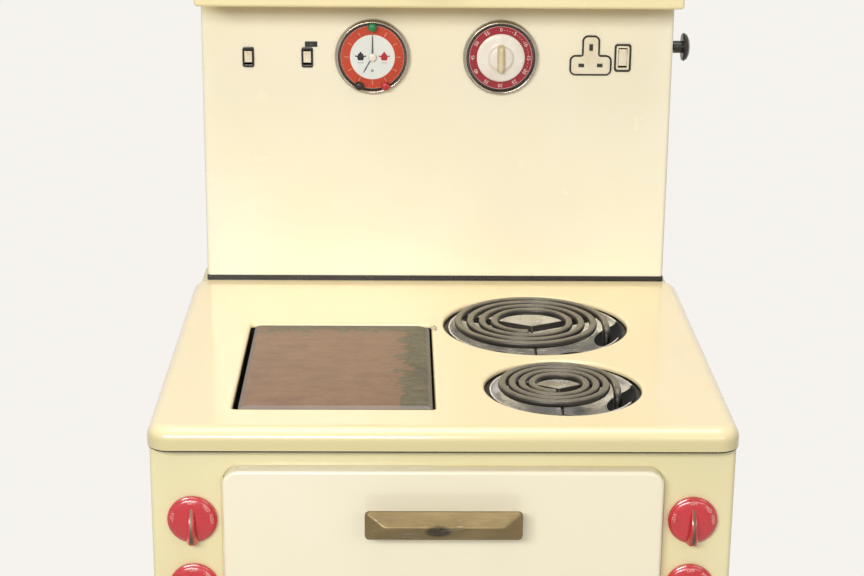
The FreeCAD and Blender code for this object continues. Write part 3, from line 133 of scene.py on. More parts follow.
def linked(name, data):
    item = bpy.data.objects.new(name, data)
    bpy.context.scene.collection.objects.link(item)
    return item


def meshObject(name, points, faces, sharpDegrees=32):
    # doubles merged and every face turned outwards, with creases only past sharpDegrees
    mesh = bpy.data.meshes.new(name)
    mesh.from_pydata([tuple(p) for p in points], [], [tuple(f) for f in faces])
    work = bmesh.new()
    work.from_mesh(mesh)
    bmesh.ops.remove_doubles(work, verts=work.verts, dist=2e-6)
    bmesh.ops.recalc_face_normals(work, faces=work.faces)
    work.to_mesh(mesh)
    work.free()
    mesh.shade_smooth()
    mesh.set_sharp_from_angle(angle=math.radians(sharpDegrees))
    return linked(name, mesh)


def ringFaces(rings, sides, wrap=True, firstCap=False, lastCap=False):
    # quads between neighbouring rings of a grid of rings x sides points, by index arithmetic
    ring, side = np.meshgrid(np.arange(rings - 1), np.arange(sides if wrap else sides - 1), indexing="ij")
    ahead = (side + 1) % sides
    quads = np.stack([ring * sides + side, ring * sides + ahead, (ring + 1) * sides + ahead,
                      (ring + 1) * sides + side], axis=-1).reshape(-1, 4).tolist()
    if firstCap:
        quads.append(list(range(sides)))
    if lastCap:
        quads.append(list(range((rings - 1) * sides, rings * sides)))
    return quads


def loft(name, rings, wrap=True, firstCap=False, lastCap=False, sharpDegrees=32):
    rings = np.asarray(rings, float)
    faces = ringFaces(rings.shape[0], rings.shape[1], wrap, firstCap, lastCap)
    return meshObject(name, rings.reshape(-1, 3), faces, sharpDegrees)


def roundRect(halfWide, halfHigh, radius, perCorner=10):
    # a rectangle's outline with quarter circles at its corners, anticlockwise, as (u, v) rows
    radius = max(radius, 1e-5)
    turn = np.linspace(0, math.pi / 2, perCorner)
    parts = []
    for quarter, (su, sv) in enumerate(((1, 1), (-1, 1), (-1, -1), (1, -1))):
        angle = turn + quarter * math.pi / 2
        centre = np.array([su * (halfWide - radius), sv * (halfHigh - radius)])
        parts.append(centre + radius * np.stack([np.cos(angle), np.sin(angle)], axis=1))
    return np.concatenate(parts)


def arcPoints(centreU, centreV, radius, fromDegrees, toDegrees, count):
    angle = np.radians(np.linspace(fromDegrees, toDegrees, count))
    return np.stack([centreU + radius * np.cos(angle), centreV + radius * np.sin(angle)], axis=1)


def lathe(name, profile, centre, axis="-Y", sides=96, sharpDegrees=32, capped=True):
    # each (radius, height) of the profile swept round an axis through centre
    profile = np.asarray(profile, float)
    angle = np.linspace(0, 2 * math.pi, sides, endpoint=False)
    radius, height = profile[:, :1], profile[:, 1:]
    across, up = radius * np.cos(angle), radius * np.sin(angle)
    along = np.repeat(height, sides, axis=1)
    placed = (across, -along, up) if axis == "-Y" else (across, up, along)
    rings = np.stack(placed, axis=-1) + np.array(centre)
    return loft(name, rings, firstCap=capped and profile[0, 0] > 1e-6,
                lastCap=capped and profile[-1, 0] > 1e-6, sharpDegrees=sharpDegrees)


def turned(name, profileMm, centre, axis="-Y", sides=96, sharpDegrees=32):
    # a closed lathe of a profile in millimetres
    return lathe(name, np.array(profileMm) * mm, centre, axis, sides, sharpDegrees)


def settle(piece, body, material, slot, *replaced):
    piece.data.materials.clear()
    piece.data.materials.append(material)
    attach(piece, body)
    if replaced:
        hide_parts(*replaced)


def joined(name, *pieces):
    # several meshes as one piece, keeping their own creases
    bpy.ops.object.select_all(action="DESELECT")
    for piece in pieces:
        piece.select_set(True)
    bpy.context.view_layer.objects.active = pieces[0]
    bpy.ops.object.join()
    pieces[0].name = name
    return pieces[0]


def enamel(name, colour, warmer, gloss=0.16, paintedShade=None, span=(0, 0), chips=None):
    # vitreous enamel: a glassy coat with a faint orange peel and slow drifts of tone and gloss
    made, tree, place, shader = newMaterial(name)
    tone = blendColour(tree, ramp(tree, noise(tree, place, 190, 3), 0.35, 0.7), colour, warmer)
    if paintedShade:
        # painted shade: a darker tone over a span of height, standing in for the shade on the hob's rolled
        # edge and the shadow the grill casing casts on the upright
        tone = blendColour(tree, ramp(tree, axisOf(tree, place, "Z"), *span), tone, paintedShade)
    if chips:
        # broken away in small ragged spots inside an ellipse (x, y, half widths), down to rusty steel
        x, y, halfX, halfY = chips
        reach = reachFrom(tree, place, (x, y, 0), (halfX, halfY, 0))
        ragged = noise(tree, place, 3.2, 3, roughness=0.6)
        spot = maths(tree, "MULTIPLY", ramp(tree, reach, 0.5, 1.0, 1, 0), ragged)
        tone = blendColour(tree, ramp(tree, spot, 0.46, 0.50), tone, "#6d5433")
    dress(tree, shader, tone, ramp(tree, noise(tree, place, 46, 4), 0.3, 0.75, gloss, gloss + 0.11))
    shader.inputs["Coat Weight"].default_value = 0.35
    shader.inputs["Coat Roughness"].default_value = 0.06
    bump(tree, shader, noise(tree, place, 2.6, 2), 0.006, 0.55)
    return made


def speckled(name, base, fleck, gloss=0.22):
    # dark stove enamel scattered with small pale flecks
    made, tree, place, shader = newMaterial(name)
    cells = addNode(tree, "ShaderNodeTexVoronoi", {"Scale": 1 / (3.4 * mm)}, {"Vector": place})
    spots = ramp(tree, cells.outputs["Distance"], 0.10, 0.16, 1.0, 0.0)
    dress(tree, shader, blendColour(tree, spots, base, fleck),
          ramp(tree, noise(tree, place, 30), 0.3, 0.7, gloss, gloss + 0.14))
    bump(tree, shader, noise(tree, place, 3.0, 2), 0.01, 0.5)
    return made


def paintedSteel(name, colour, lighter, rough=0.45):
    # satin stoving paint, dusty in slow patches
    made, tree, place, shader = newMaterial(name)
    dress(tree, shader, blendColour(tree, ramp(tree, noise(tree, place, 60, 4), 0.35, 0.75), colour, lighter),
          ramp(tree, noise(tree, place, 9, 3), 0.3, 0.7, rough, rough + 0.2))
    bump(tree, shader, noise(tree, place, 0.9, 2), 0.01, 0.6)
    return made


def zincSteel(name, colour, darker, rough=0.36):
    # zinc-plated sheet: crystal spangle in the tone and the gloss, with fine rolling lines
    made, tree, place, shader = newMaterial(name, 1.0)
    cells = addNode(tree, "ShaderNodeTexVoronoi", {"Scale": 1 / (9 * mm)}, {"Vector": place},
                    feature="SMOOTH_F1")
    share = addNode(tree, "ShaderNodeSeparateColor", links={"Color": cells.outputs["Color"]}).outputs[0]
    dress(tree, shader, blendColour(tree, ramp(tree, share, 0.0, 1.0, 0.0, 0.8), colour, darker),
          ramp(tree, share, 0, 1, rough, rough + 0.16))
    bump(tree, shader, noise(tree, place, 0.8, 2, (1, 1, 6)), 0.004, 0.5)
    return made


def chrome(name, tint, heat, rough):
    # plated chrome with faint wiping haze; heat is the tint that cooking leaves on it in patches
    made, tree, place, shader = newMaterial(name, 1.0)
    stain = ramp(tree, noise(tree, place, 26, 5, roughness=0.62), 0.42, 0.68)
    dress(tree, shader, blendColour(tree, stain, tint, heat),
          ramp(tree, noise(tree, place, 14, 4), 0.35, 0.75, rough, rough + 0.13))
    bump(tree, shader, noise(tree, place, 7, 2), 0.01, 0.25)
    return made


def mouldedPlastic(name, colour, gloss, grain, mottle):
    # moulded thermoset: even colour, slight sink waves, rubbed duller in patches
    made, tree, place, shader = newMaterial(name)
    dress(tree, shader, blendColour(tree, ramp(tree, noise(tree, place, 18, 3), 0.4, 0.7), colour, mottle),
          ramp(tree, noise(tree, place, 11, 4), 0.3, 0.72, gloss, gloss + 0.14))
    shader.inputs["IOR"].default_value = 1.52
    bump(tree, shader, noise(tree, place, 4.5, 2), 0.02, grain)
    return made


def fibre(name, colour, darker, sizeMm=5, depthMm=1.2):
    # tangled fibres: two crossed drawn-out clouds, matt
    made, tree, place, shader = newMaterial(name)
    strands = noise(tree, place, sizeMm, 6, (1, 5, 1), 0.7)
    tone = blendColour(tree, ramp(tree, strands, 0.3, 0.7), darker, colour)
    tree.links.new(tone, shader.inputs["Base Color"])
    shader.inputs["Roughness"].default_value = 0.95
    tufts = maths(tree, "ADD", noise(tree, place, sizeMm * 5, 3), 0.5)
    bump(tree, shader, maths(tree, "MULTIPLY", strands, tufts), depthMm, 0.9)
    return made


def sheathedTube(name, darkBelowZ=None):
    # heating tube's alloy sheath: rubbed grey-brown on its flat top, straw patches, near black where it faces
    # away from up: partly black oxide, partly painted shade
    made, tree, place, shader = newMaterial(name, 0.4)
    facingUp = axisOf(tree, addNode(tree, "ShaderNodeTexCoord").outputs["Normal"], "Z")
    patch = ramp(tree, noise(tree, place, 24, 4, roughness=0.6), 0.36, 0.68)
    fine = ramp(tree, noise(tree, place, 2.2, 3), 0.35, 0.7)
    tone = blendColour(tree, patch, "#6e695d", "#8b8270")
    tone = blendColour(tree, ramp(tree, fine, 0, 1, 0, 0.3), tone, "#4a4238")
    # darker where the surface faces away from up: partly the sheath's black oxide, partly painted shade on
    # the sides and underside
    tone = blendColour(tree, ramp(tree, facingUp, 0.45, 0.85, 0.85, 0), tone, "#1f1c18")
    # near black below a given height, where the legs run down below the hob
    if darkBelowZ:
        belowDark = ramp(tree, axisOf(tree, place, "Z"), darkBelowZ - 0.002, darkBelowZ + 0.002, 0.9, 0)
        tone = blendColour(tree, belowDark, tone, "#120f0d")
    dress(tree, shader, tone, ramp(tree, patch, 0, 1, 0.30, 0.44))
    bump(tree, shader, noise(tree, place, 1.1, 3), 0.02, 0.5)
    return made


# the body, hob, upright and grill share one cream enamel; each copy is set lighter or darker for the light
# that falls on that part: painted light and shade
cream = enamel("CreamEnamelBody", "#ece2b2", "#e8dca9")
# the hob's rolled edge and skirt are painted a shade darker than its top: painted shade
creamHob = enamel("CreamEnamelHob", "#f7e4b6", "#f5e1b0", 0.13, paintedShade="#dacc99", span=(0.903, 0.893),
                  chips=(-0.0045, 0.006, 0.0065, 0.019))
# the upright is painted darker and yellower just under the grill casing: painted shadow of the casing's
# overhang
creamUpright = enamel("CreamEnamelUpright", "#f9f1d8", "#f6edcd", 0.18, paintedShade="#dcc78c", span=(1.234, 1.254))
creamGrill = enamel("CreamEnamelGrill", "#f0e1b1", "#eddda8", 0.18)
paleDoor = enamel("PaleEnamelDoor", "#f3ead0", "#f1e7c9", 0.15)
stoveEnamel = speckled("SpeckledStoveEnamel", "#1b1d22", "#7d8288")
panEnamel = speckled("SpeckledPanEnamel", "#23262c", "#9aa0a4", 0.16)
blackSteel = paintedSteel("BlackStovedSteel", "#161514", "#2a2724")
plated = zincSteel("ZincPlatedSheet", "#b9bcbd", "#8f9394")
galvanised = zincSteel("GalvanisedBackSheet", "#a9adae", "#7f8486", 0.42)
brightLining = zincSteel("BrightGrillLining", "#c9c8c3", "#a39d90", 0.24)
wireChrome = chrome("ChromedWire", "#e4e5e6", "#b89c74", 0.12)
rimChrome = chrome("ChromedRim", "#a9a59d", "#a9a59d", 0.1)
rockWool = fibre("RockWool", "#b3a46e", "#6f6440")
wovenGlass = fibre("WovenGlassSeal", "#8d8880", "#5c5852", 2, 0.6)
scorchedSteel = paintedSteel("ScorchedSupportSteel", "#1d1815", "#2f2721", 0.55)
tube = sheathedTube("HeatingTubeSheath")
glazed = mouldedPlastic("GlazedCeramic", "#e7e2d6", 0.12, 0.2, "#ddd5c4")
phenolic = mouldedPlastic("BrownPhenolic", "#3d2f28", 0.35, 0.4, "#4a3930")
blackPlastic = mouldedPlastic("BlackPlastic", "#17120f", 0.24, 0.25, "#211a16")
creamPlastic = mouldedPlastic("CreamUreaPlastic", "#f0e6cd", 0.2, 0.25, "#e6d9ba")

carried = {
    cream: "front_frame side_panels", creamUpright: "splashback", creamGrill: "grill_casing",
    creamHob: "hob_top", paleDoor: "door_outer drawer_front",
    stoveEnamel: "oven_liner door_inner", panEnamel: "grill_pan",
    blackSteel: "plinth terminal_cover hotplate_tray",
    plated: "casing_screws hinge_brackets door_hinges drawer_box",
    scorchedSteel: "rear_ring_support front_ring_support",
    galvanised: "back_panel", brightLining: "grill_liner", wireChrome: "shelf_runners oven_shelf grill_rack",
    rockWool: "oven_insulation door_insulation", wovenGlass: "door_seal",
    tube: "oven_element grill_element rear_ring_coil front_ring_coil", glazed: "terminal_blocks",
    phenolic: "regulators", blackPlastic: "grill_pan_handle switch_bezels sealing_strip start_peg side_knob",
    creamPlastic: "socket_plate grill_switch light_switch socket_switch timer_knob minute_hand",
}
for material, names in carried.items():
    for name in names.split():
        nodes[name].data.materials.clear()
        nodes[name].data.materials.append(material)
print("materials on the carried nodes")


# heights and fronts shared by the pieces, in metres
hobZ = 0.905
uprightY = 0.193
bodyY = -0.2955
doorFace = -0.310
dialZ = 1.1868


def planeRing(outline, depth, plane, centre=(0, 0)):
    # an outline laid in the XZ plane at y = depth, or in the XY plane at z = depth
    u, v = outline[:, 0] + centre[0], outline[:, 1] + centre[1]
    flat = np.full_like(u, depth)
    return np.stack((u, flat, v) if plane == "XZ" else (u, v, flat), axis=1)


def flatSheet(name, outer, holes, height):
    # a level face inside the outer outline, open inside each hole: triangles, those in a hole dropped
    outlines = [np.asarray(outer)] + [np.asarray(hole) for hole in holes]
    points, edges = [], []
    for outline in outlines:
        first = len(points)
        points += [Vector(point) for point in outline]
        edges += [(first + i, first + (i + 1) % len(outline)) for i in range(len(outline))]
    flat, _, faces, _, _, _ = delaunay_2d_cdt(points, edges, [], 1, 1e-7)
    flat = np.array([tuple(point) for point in flat])
    middles = np.array([flat[list(face)].mean(axis=0) for face in faces])
    inHole = np.zeros(len(middles), bool)
    for hole in outlines[1:]:
        u, v = hole[:, 0], hole[:, 1]
        nextU, nextV = np.roll(u, -1), np.roll(v, -1)
        # even-odd count of the hole's edges that a line from the middle towards +u crosses
        spans = (v[None] > middles[:, 1:]) != (nextV[None] > middles[:, 1:])
        with np.errstate(divide="ignore", invalid="ignore"):
            at = u + (middles[:, 1:] - v) * (nextU - u) / (nextV - v)
        inHole |= (spans & (middles[:, :1] < at)).sum(axis=1) % 2 == 1
    kept = [face for face, gone in zip(faces, inHole) if not gone]
    return meshObject(name, planeRing(flat, height, "XY"), kept)


def roundHole(x, y, radius, sides=96):
    angle = np.linspace(0, 2 * math.pi, sides, endpoint=False)
    return np.stack([x + radius * np.cos(angle), y + radius * np.sin(angle)], axis=1)


hob = {"back": 0.205, "front": -0.312, "half": 0.300, "low": 0.8820, "corner": 0.024, "roll": 0.014,
       "sheet": 0.0008, "lipRadius": 0.0034, "ringCollar": 0.0052, "slotCollar": 0.0046}
# middle of each ring, its opening's radius, the coil's outer radius and the pitch of its turns
ringPlaces = {"rear": (0.1128, 0.023, 0.1065, 0.0855, 0.014),
              "front": (0.1285, -0.185, 0.0835, 0.0605, 0.0106)}
slotPlace = {"x": -0.1125, "y": -0.116, "halfX": 0.1045, "halfY": 0.137, "corner": 0.004}


def hobRing(inset, height, cornerInset=0.0):
    # the hob's outline at a height, set in by inset
    halfY = (hob["back"] - hob["front"]) / 2
    outline = roundRect(hob["half"] - inset, halfY - inset, hob["corner"] - cornerInset, 14)
    return planeRing(outline, height, "XY", (0, (hob["back"] + hob["front"]) / 2))


def slotRing(grow, height):
    # the outline of the hotplate's opening at a height, grown by grow
    outline = roundRect(slotPlace["halfX"] + grow, slotPlace["halfY"] + grow, slotPlace["corner"] + grow, 6)
    return planeRing(outline, height, "XY", (slotPlace["x"], slotPlace["y"]))


def hobTop():
    roll, lip = hob["roll"], hob["lipRadius"]
    # the rolled edge: a quarter circle from the flat top down into the skirt, then a small turn under
    rings = []
    for turn in np.linspace(0, math.pi / 2, 12):
        inset = roll * (1 - math.sin(turn))
        rings.append(hobRing(inset, hobZ - roll * (1 - math.cos(turn)), inset * 0.9))
    for down, inset in ((0.45, 0), (1, 0), (1, hob["sheet"]), (0.45, hob["sheet"])):
        rings.append(hobRing(inset, hobZ - roll - (hobZ - roll - hob["low"]) * down))
    holes = [slotRing(lip, hobZ)[:, :2]]
    holes += [roundHole(x, y, radius + lip) for x, y, radius, _, _ in ringPlaces.values()]
    flat = flatSheet("hobSheet", hobRing(roll, hobZ, roll * 0.9)[:, :2], holes, hobZ)
    pieces = [loft("hobSkirt", rings), flat]
    # each opening's edge is pressed down: a quarter round of lipRadius, then a straight collar
    bend = [(lip - lip * math.sin(a), hobZ - lip * (1 - math.cos(a))) for a in np.linspace(0, math.pi / 2, 6)]
    for name, (x, y, radius, _, _) in ringPlaces.items():
        profile = [(radius + grow, height) for grow, height in bend] + [(radius, hobZ - hob["ringCollar"])]
        pieces.append(lathe(name + "Collar", profile, (x, y, 0), "+Z", 96, capped=False))
    edges = [slotRing(grow, height) for grow, height in bend + [(0, hobZ - hob["slotCollar"])]]
    pieces.append(loft("slotEdge", edges))
    return joined("hobTop", *pieces)


# sizes of the dark bead under the hob's edge, a painted shadow line
seal = {"inset": 0.0008, "wide": 0.006, "up": 0.0004, "down": 0.0016}


def hobShadeBead():
    # a dark bead under the hob's rolled edge, painted shadow for the dark line at the seam
    outer, inner = seal["inset"], seal["inset"] + seal["wide"]
    corners = ((outer, seal["up"]), (outer, -seal["down"]), (inner, -seal["down"]), (inner, seal["up"]),
               (outer, seal["up"]))
    return loft("hobShadeBead", [hobRing(inset, hob["low"] + height, inset) for inset, height in corners])


# low and high edge of the oven door and of the drawer's front, and the lip behind the gap round them
fronts = {"oven": (0.3843, 0.8593), "drawer": (0.1203, 0.3503)}
lip = {"half": 0.2261, "clear": 0.00175, "corner": 0.0191, "front": bodyY + 0.0009, "deep": 0.0012}


def gapLip(name, low, high):
    # a narrow turned lip inside the opening, so the gap shows enamel rather than the dark behind it
    middleZ, halfZ = (low + high) / 2, (high - low) / 2 + 0.0021
    rings = []
    for depth, inset in ((0, 0), (lip["deep"], 0), (lip["deep"], lip["clear"]), (0, lip["clear"]), (0, 0)):
        outline = roundRect(lip["half"] - inset, halfZ - inset, lip["corner"] - inset, 14)
        rings.append(planeRing(outline, lip["front"] + depth, "XZ", (0, middleZ)))
    return loft(name, rings)


handleShape = {"half": 79.5, "high": 15.0, "front": -0.345, "bar": 15.0, "band": 2.6, "ridge": 2.8,
               "ridgeHalf": 59.0, "corner": 4.5, "soft": 0.55, "postX": 64.0}


def barHandle(name, middleZ):
    # a solid bar in millimetres, shaped as a hipped roof: an edge band, two slopes to a ridge and sloped ends
    h = handleShape
    rise = h["bar"] - h["band"]
    rings = []
    for across in np.concatenate([np.linspace(-1, -0.94, 9), np.linspace(-0.93, 0.93, 75),
                                  np.linspace(0.94, 1, 9)]) * h["half"]:
        fromEnd = h["half"] - abs(across)
        round = max(0.0, h["corner"] - fromEnd)
        half = h["high"] - h["corner"] + math.sqrt(h["corner"] ** 2 - round ** 2)
        up = np.linspace(1, -1, 61) * half
        slopes = np.stack([(half - up) / (h["high"] - h["ridge"]), (half + up) / (h["high"] + h["ridge"]),
                           np.full_like(up, fromEnd / (h["half"] - h["ridgeHalf"])), np.ones_like(up)])
        # the least of the slopes, rounded where two meet: -s ln(sum of exp(-slope / s))
        soft = h["soft"] / rise
        least = -soft * np.log(np.exp(-slopes / soft).sum(axis=0)) + soft * 0.7
        depth = np.minimum(h["band"] + rise * np.maximum(0, least), h["bar"] - 0.01)
        u = np.concatenate([[up[0] - 0.01], up, [up[-1] + 0.01]])
        d = np.concatenate([[0], depth, [0]])
        rings.append(np.stack([np.full_like(u, across * mm), h["front"] + (h["bar"] - d) * mm,
                               middleZ + u * mm], axis=1))
    bar = loft(name, rings, firstCap=True, lastCap=True, sharpDegrees=50)
    outline = roundRect(7 * mm, 6 * mm, 3 * mm, 6)
    posts = [loft(name + "Post", [planeRing(outline, depth, "XZ", (x * mm, middleZ))
                                  for depth in (h["front"] + (h["bar"] - 1) * mm, doorFace)],
                  firstCap=True, lastCap=True) for x in (-h["postX"], h["postX"])]
    return joined(name, bar, *posts)


knobShape = {"radius": 25.5, "rim": 3.6, "step": 1.6, "dome": 10.2, "gripTop": 17.0, "gripFoot": -24.6,
             "halfTop": 3.1, "halfFoot": 7.0, "low": 6.8, "peak": 19.6, "peakAt": 0.62, "foot": 14.0,
             "inlayTop": 1.0, "inlayFoot": 1.9, "letterReach": 20.4, "letterSize": 3.3}
# degrees clockwise from the top of each word on a knob, and of the marks at the ends of its range
knobWords = {"LOW": -76, "OFF": 0, "MED": 47, "HIGH": 82}
rangeEnds = (-122, 124)
knobStart = bodyY - 0.6 * mm


def domeHeight(reach):
    # the dome as a flat ellipse over the skirt's rim, reach and height in millimetres
    k = knobShape
    share = np.clip(reach / (k["radius"] - k["step"]), 0, 1)
    return k["rim"] + k["step"] + (k["dome"] - k["rim"] - k["step"]) * np.sqrt(1 - share ** 2)


def gripCrown(share):
    # the grip's height from its top end (0) to its foot (1): a quarter sine up, then a parabola down
    k = knobShape
    if share < k["peakAt"]:
        return k["low"] + (k["peak"] - k["low"]) * math.sin(share / k["peakAt"] * math.pi / 2)
    return k["peak"] - (k["peak"] - k["foot"]) * ((share - k["peakAt"]) / (1 - k["peakAt"])) ** 2


def knobBody(name, x, z):
    # a turned skirt with a low dome
    k = knobShape
    r, rim = k["radius"], k["rim"]
    profile = [(r - 1.4, 0.0), (r - 0.4, 0.5), (r, 1.6), (r, rim), (r - 0.4, rim + 0.9),
               (r - k["step"], rim + k["step"])]
    reach = (k["radius"] - k["step"]) * np.cos(np.linspace(0.08, math.pi / 2, 24))
    profile += list(zip(reach, domeHeight(reach)))
    return turned(name, profile, (x, knobStart, z))


def gripBar(name, x, z):
    # a fin that widens and rises towards the knob's foot, with a narrow flat crest
    k = knobShape
    rings = []
    # how far the outline shrinks at the two ends, to round them
    ends = {0.0: 0.7, 0.99: 0.4, 1.0: 1.2}
    for share in [0.0, *np.linspace(0.02, 0.965, 34), 0.99, 1.0]:
        shrink = ends.get(share, 0.0)
        up = k["gripTop"] + (k["gripFoot"] - k["gripTop"]) * share
        half = k["halfTop"] + (k["halfFoot"] - k["halfTop"]) * share ** 0.85 - shrink * 0.6
        crest = k["inlayTop"] + 1.1 + (k["inlayFoot"] - k["inlayTop"]) * share
        crown = gripCrown(share) - shrink
        side = [(half, 2.5), (half * 0.98, crown * 0.35), ((half + crest) * 0.5 + 0.2, crown * 0.74),
                (crest + 0.45, crown - 0.75), (crest + 0.1, crown - 0.18), (crest - 0.25, crown)]
        profile = [(-u, h) for u, h in side] + side[::-1]
        rings.append([(x + u * mm, knobStart - h * mm, z + up * mm) for u, h in profile])
    return loft(name, rings, firstCap=True, lastCap=True, sharpDegrees=44)


def knobInlay(name, x, z):
    # the tapered metal strip let into the grip's crest, standing 0.1 mm proud
    k = knobShape
    rings = []
    for share in np.linspace(0.05, 0.93, 30):
        up = k["gripTop"] + (k["gripFoot"] - k["gripTop"]) * share
        half = k["inlayTop"] + (k["inlayFoot"] - k["inlayTop"]) * share
        top = gripCrown(share) + 0.1
        rings.append([(x + u * mm, knobStart - h * mm, z + up * mm) for u, h in
                      ((-half, top - 1), (-half, top - 0.1), (-half * 0.85, top), (half * 0.85, top),
                       (half, top - 0.1), (half, top - 1))])
    return loft(name, rings, firstCap=True, lastCap=True)


def knobLetters(name, x, z):
    # words round the dome and two short marks at the ends of the range, draped on the dome
    k = knobShape
    words = [lettering(word, *around(x, z, k["letterReach"], turn / 30), knobStart, k["letterSize"], turn)
             for word, turn in knobWords.items()]
    mark = roundRect(0.3, 1.1, 0.2, 3)
    words += [facing(mark, *around(x, z, k["letterReach"] + 0.8, turn / 30), knobStart, turn=turn)
              for turn in rangeEnds]
    piece = joined(name, *words)
    for vertex in piece.data.vertices:
        reach = math.hypot(vertex.co.x - x, vertex.co.z - z) / mm
        vertex.co.y -= float(domeHeight(reach)) * mm
    return piece


ringTube = {"radius": 0.0043, "flat": 0.0035, "rise": 0.0015, "turns": 3.75, "shift": 0.004, "bend": 0.013,
            "ahead": 0.023, "foot": 0.873}


def coilPath(x, y, radius, pitch):
    # a leg up from the terminal, a quarter bend, a straight run, then half circles that shrink by pitch / 2
    level = hobZ + ringTube["rise"]
    middle = x - ringTube["shift"]
    legX, legY = middle + radius, y - ringTube["ahead"]
    bend = ringTube["bend"]
    points = [(legX, legY, z) for z in np.linspace(ringTube["foot"], level - bend, 8)]
    for a in np.linspace(0, math.pi / 2, 16)[1:]:
        points.append((legX, legY + bend * (1 - math.cos(a)), level - bend + bend * math.sin(a)))
    points += [(legX, v, level) for v in np.linspace(legY + bend, y, 6)[1:]]
    join, side, left = np.array([legX, y]), 1, ringTube["turns"] * 2
    while left > 1e-6:
        part = min(left, 1.0)
        centre = join - np.array([side * radius, 0])
        begin = 0 if side > 0 else math.pi
        for a in np.linspace(begin, begin + math.pi * part, max(8, int(60 * part)))[1:]:
            points.append((centre[0] + radius * math.cos(a), centre[1] + radius * math.sin(a), level))
        join = np.array(points[-1][:2])
        side, left, radius = -side, left - part, radius - pitch / 2
    return np.array(points)


def pressedTube(name, path, sides=28):
    # a round tube along path whose top is pressed flat where it lies level
    ahead = np.gradient(path, axis=0)
    ahead /= np.linalg.norm(ahead, axis=1, keepdims=True)
    across = np.stack([ahead[:, 1], -ahead[:, 0], np.zeros(len(path))], axis=1)
    across[np.linalg.norm(across, axis=1) < 0.05] = (1, 0, 0)
    across /= np.linalg.norm(across, axis=1, keepdims=True)
    up = np.cross(across, ahead)
    turn = np.linspace(0, 2 * math.pi, sides, endpoint=False) + math.pi / sides
    u, v = ringTube["radius"] * np.cos(turn), ringTube["radius"] * np.sin(turn)
    level = np.clip((up[:, 2:] - 0.9) / 0.1, 0, 1)
    pressed = np.minimum(v, ringTube["flat"])
    height = v[None, :] * (1 - level) + pressed[None, :] * level
    rings = path[:, None, :] + across[:, None, :] * u[None, :, None] + up[:, None, :] * height[..., None]
    # the free end is closed by a short dome
    last, tip = rings[-1], path[-1] + ahead[-1] * 0.0022
    domed = [last + (tip - last) * share for share in (0.3, 0.6)]
    rings = np.concatenate([rings, np.array(domed)])
    return loft(name, rings, firstCap=True, lastCap=True, sharpDegrees=60)


bowlShape = {"rim": 5.6, "drop": 4.3, "deep": 18.0, "well": 26.0}
# each black patch painted on a bowl's side where an opening shows the dark below, standing for the hole:
# across and back from the ring's middle, half width and half depth
bowlHoleShades = {"rear": ((-46, -50, 15, 16), (42, -52, 19, 15), (88, -6, 19, 32)),
                "front": ((2, -38, 14, 13), (65, -8, 18, 28))}


def bowlPiece(name, x, y, hole):
    # rolled rim, a quarter ellipse down to the floor, and a shallow cone in the middle
    b = bowlShape
    rim = hole / mm - b["rim"]
    profile = [(rim - 1.4, -1.6), (rim - 0.2, -1.2), (rim, -0.5), (rim - 0.3, 0.1), (rim - 1.0, 0.3),
               (rim - 1.8, -0.1)]
    side = rim - 1.8 - b["well"]
    for turn in np.linspace(0.06, math.pi / 2, 22):
        profile.append((b["well"] + side * math.cos(turn) ** 0.8, -0.1 - b["deep"] * math.sin(turn)))
    profile += [(b["well"] * 0.5, -b["deep"] + 1.6), (0.0, -b["deep"] + 3.4)]
    return lathe(name, np.array(profile) * mm, (x, y, hobZ - b["drop"] * mm), "+Z", 128, 40, capped=False)


def bowlShadeRing(name, x, y, hole):
    # a black ring in the channel round the bowl's rim, painted shade for the dark under the opening's lip
    inner, outer = hole / mm - bowlShape["rim"] - 1.5, hole / mm
    profile = [(inner, -7.2), (outer, -7.2), (outer, -7.9), (inner, -7.9), (inner, -7.2)]
    return lathe(name, np.array(profile) * mm, (x, y, hobZ), "+Z", 96, capped=False)


def stainedBowl(name, x, y, holeShades):
    # chrome with straw and blue-brown heat stain, painted black where a side opening is: painted shade in
    # place of a hole
    made, tree, place, shader = newMaterial(name)
    stain = ramp(tree, noise(tree, place, 30, 5, roughness=0.62), 0.45, 0.75, 0, 0.4)
    paintedHole = 0.0
    for across, back, halfX, halfY in holeShades:
        reach = reachFrom(tree, place, (x + across * mm, y + back * mm, 0), (halfX * mm, halfY * mm, 0))
        paintedHole = maths(tree, "MAXIMUM", paintedHole, ramp(tree, reach, 0.97, 1.03, 1, 0))
    haze = ramp(tree, noise(tree, place, 12, 4), 0.3, 0.75, 0.16, 0.32)
    tone = blendColour(tree, stain, "#eceae6", "#a3957c")
    dress(tree, shader, blendColour(tree, paintedHole, tone, "#0d0b09"), maths(tree, "MAXIMUM", haze, paintedHole))
    tree.links.new(ramp(tree, paintedHole, 0, 1, 0.62, 0), shader.inputs["Metallic"])
    return made


plateShape = {"x": -0.111, "y": -0.116, "halfX": 0.1005, "halfY": 0.133, "top": 0.906, "low": 0.886,
              "drop": 0.0024, "run": 0.005, "chamfer": 0.008, "bend": 0.0025}


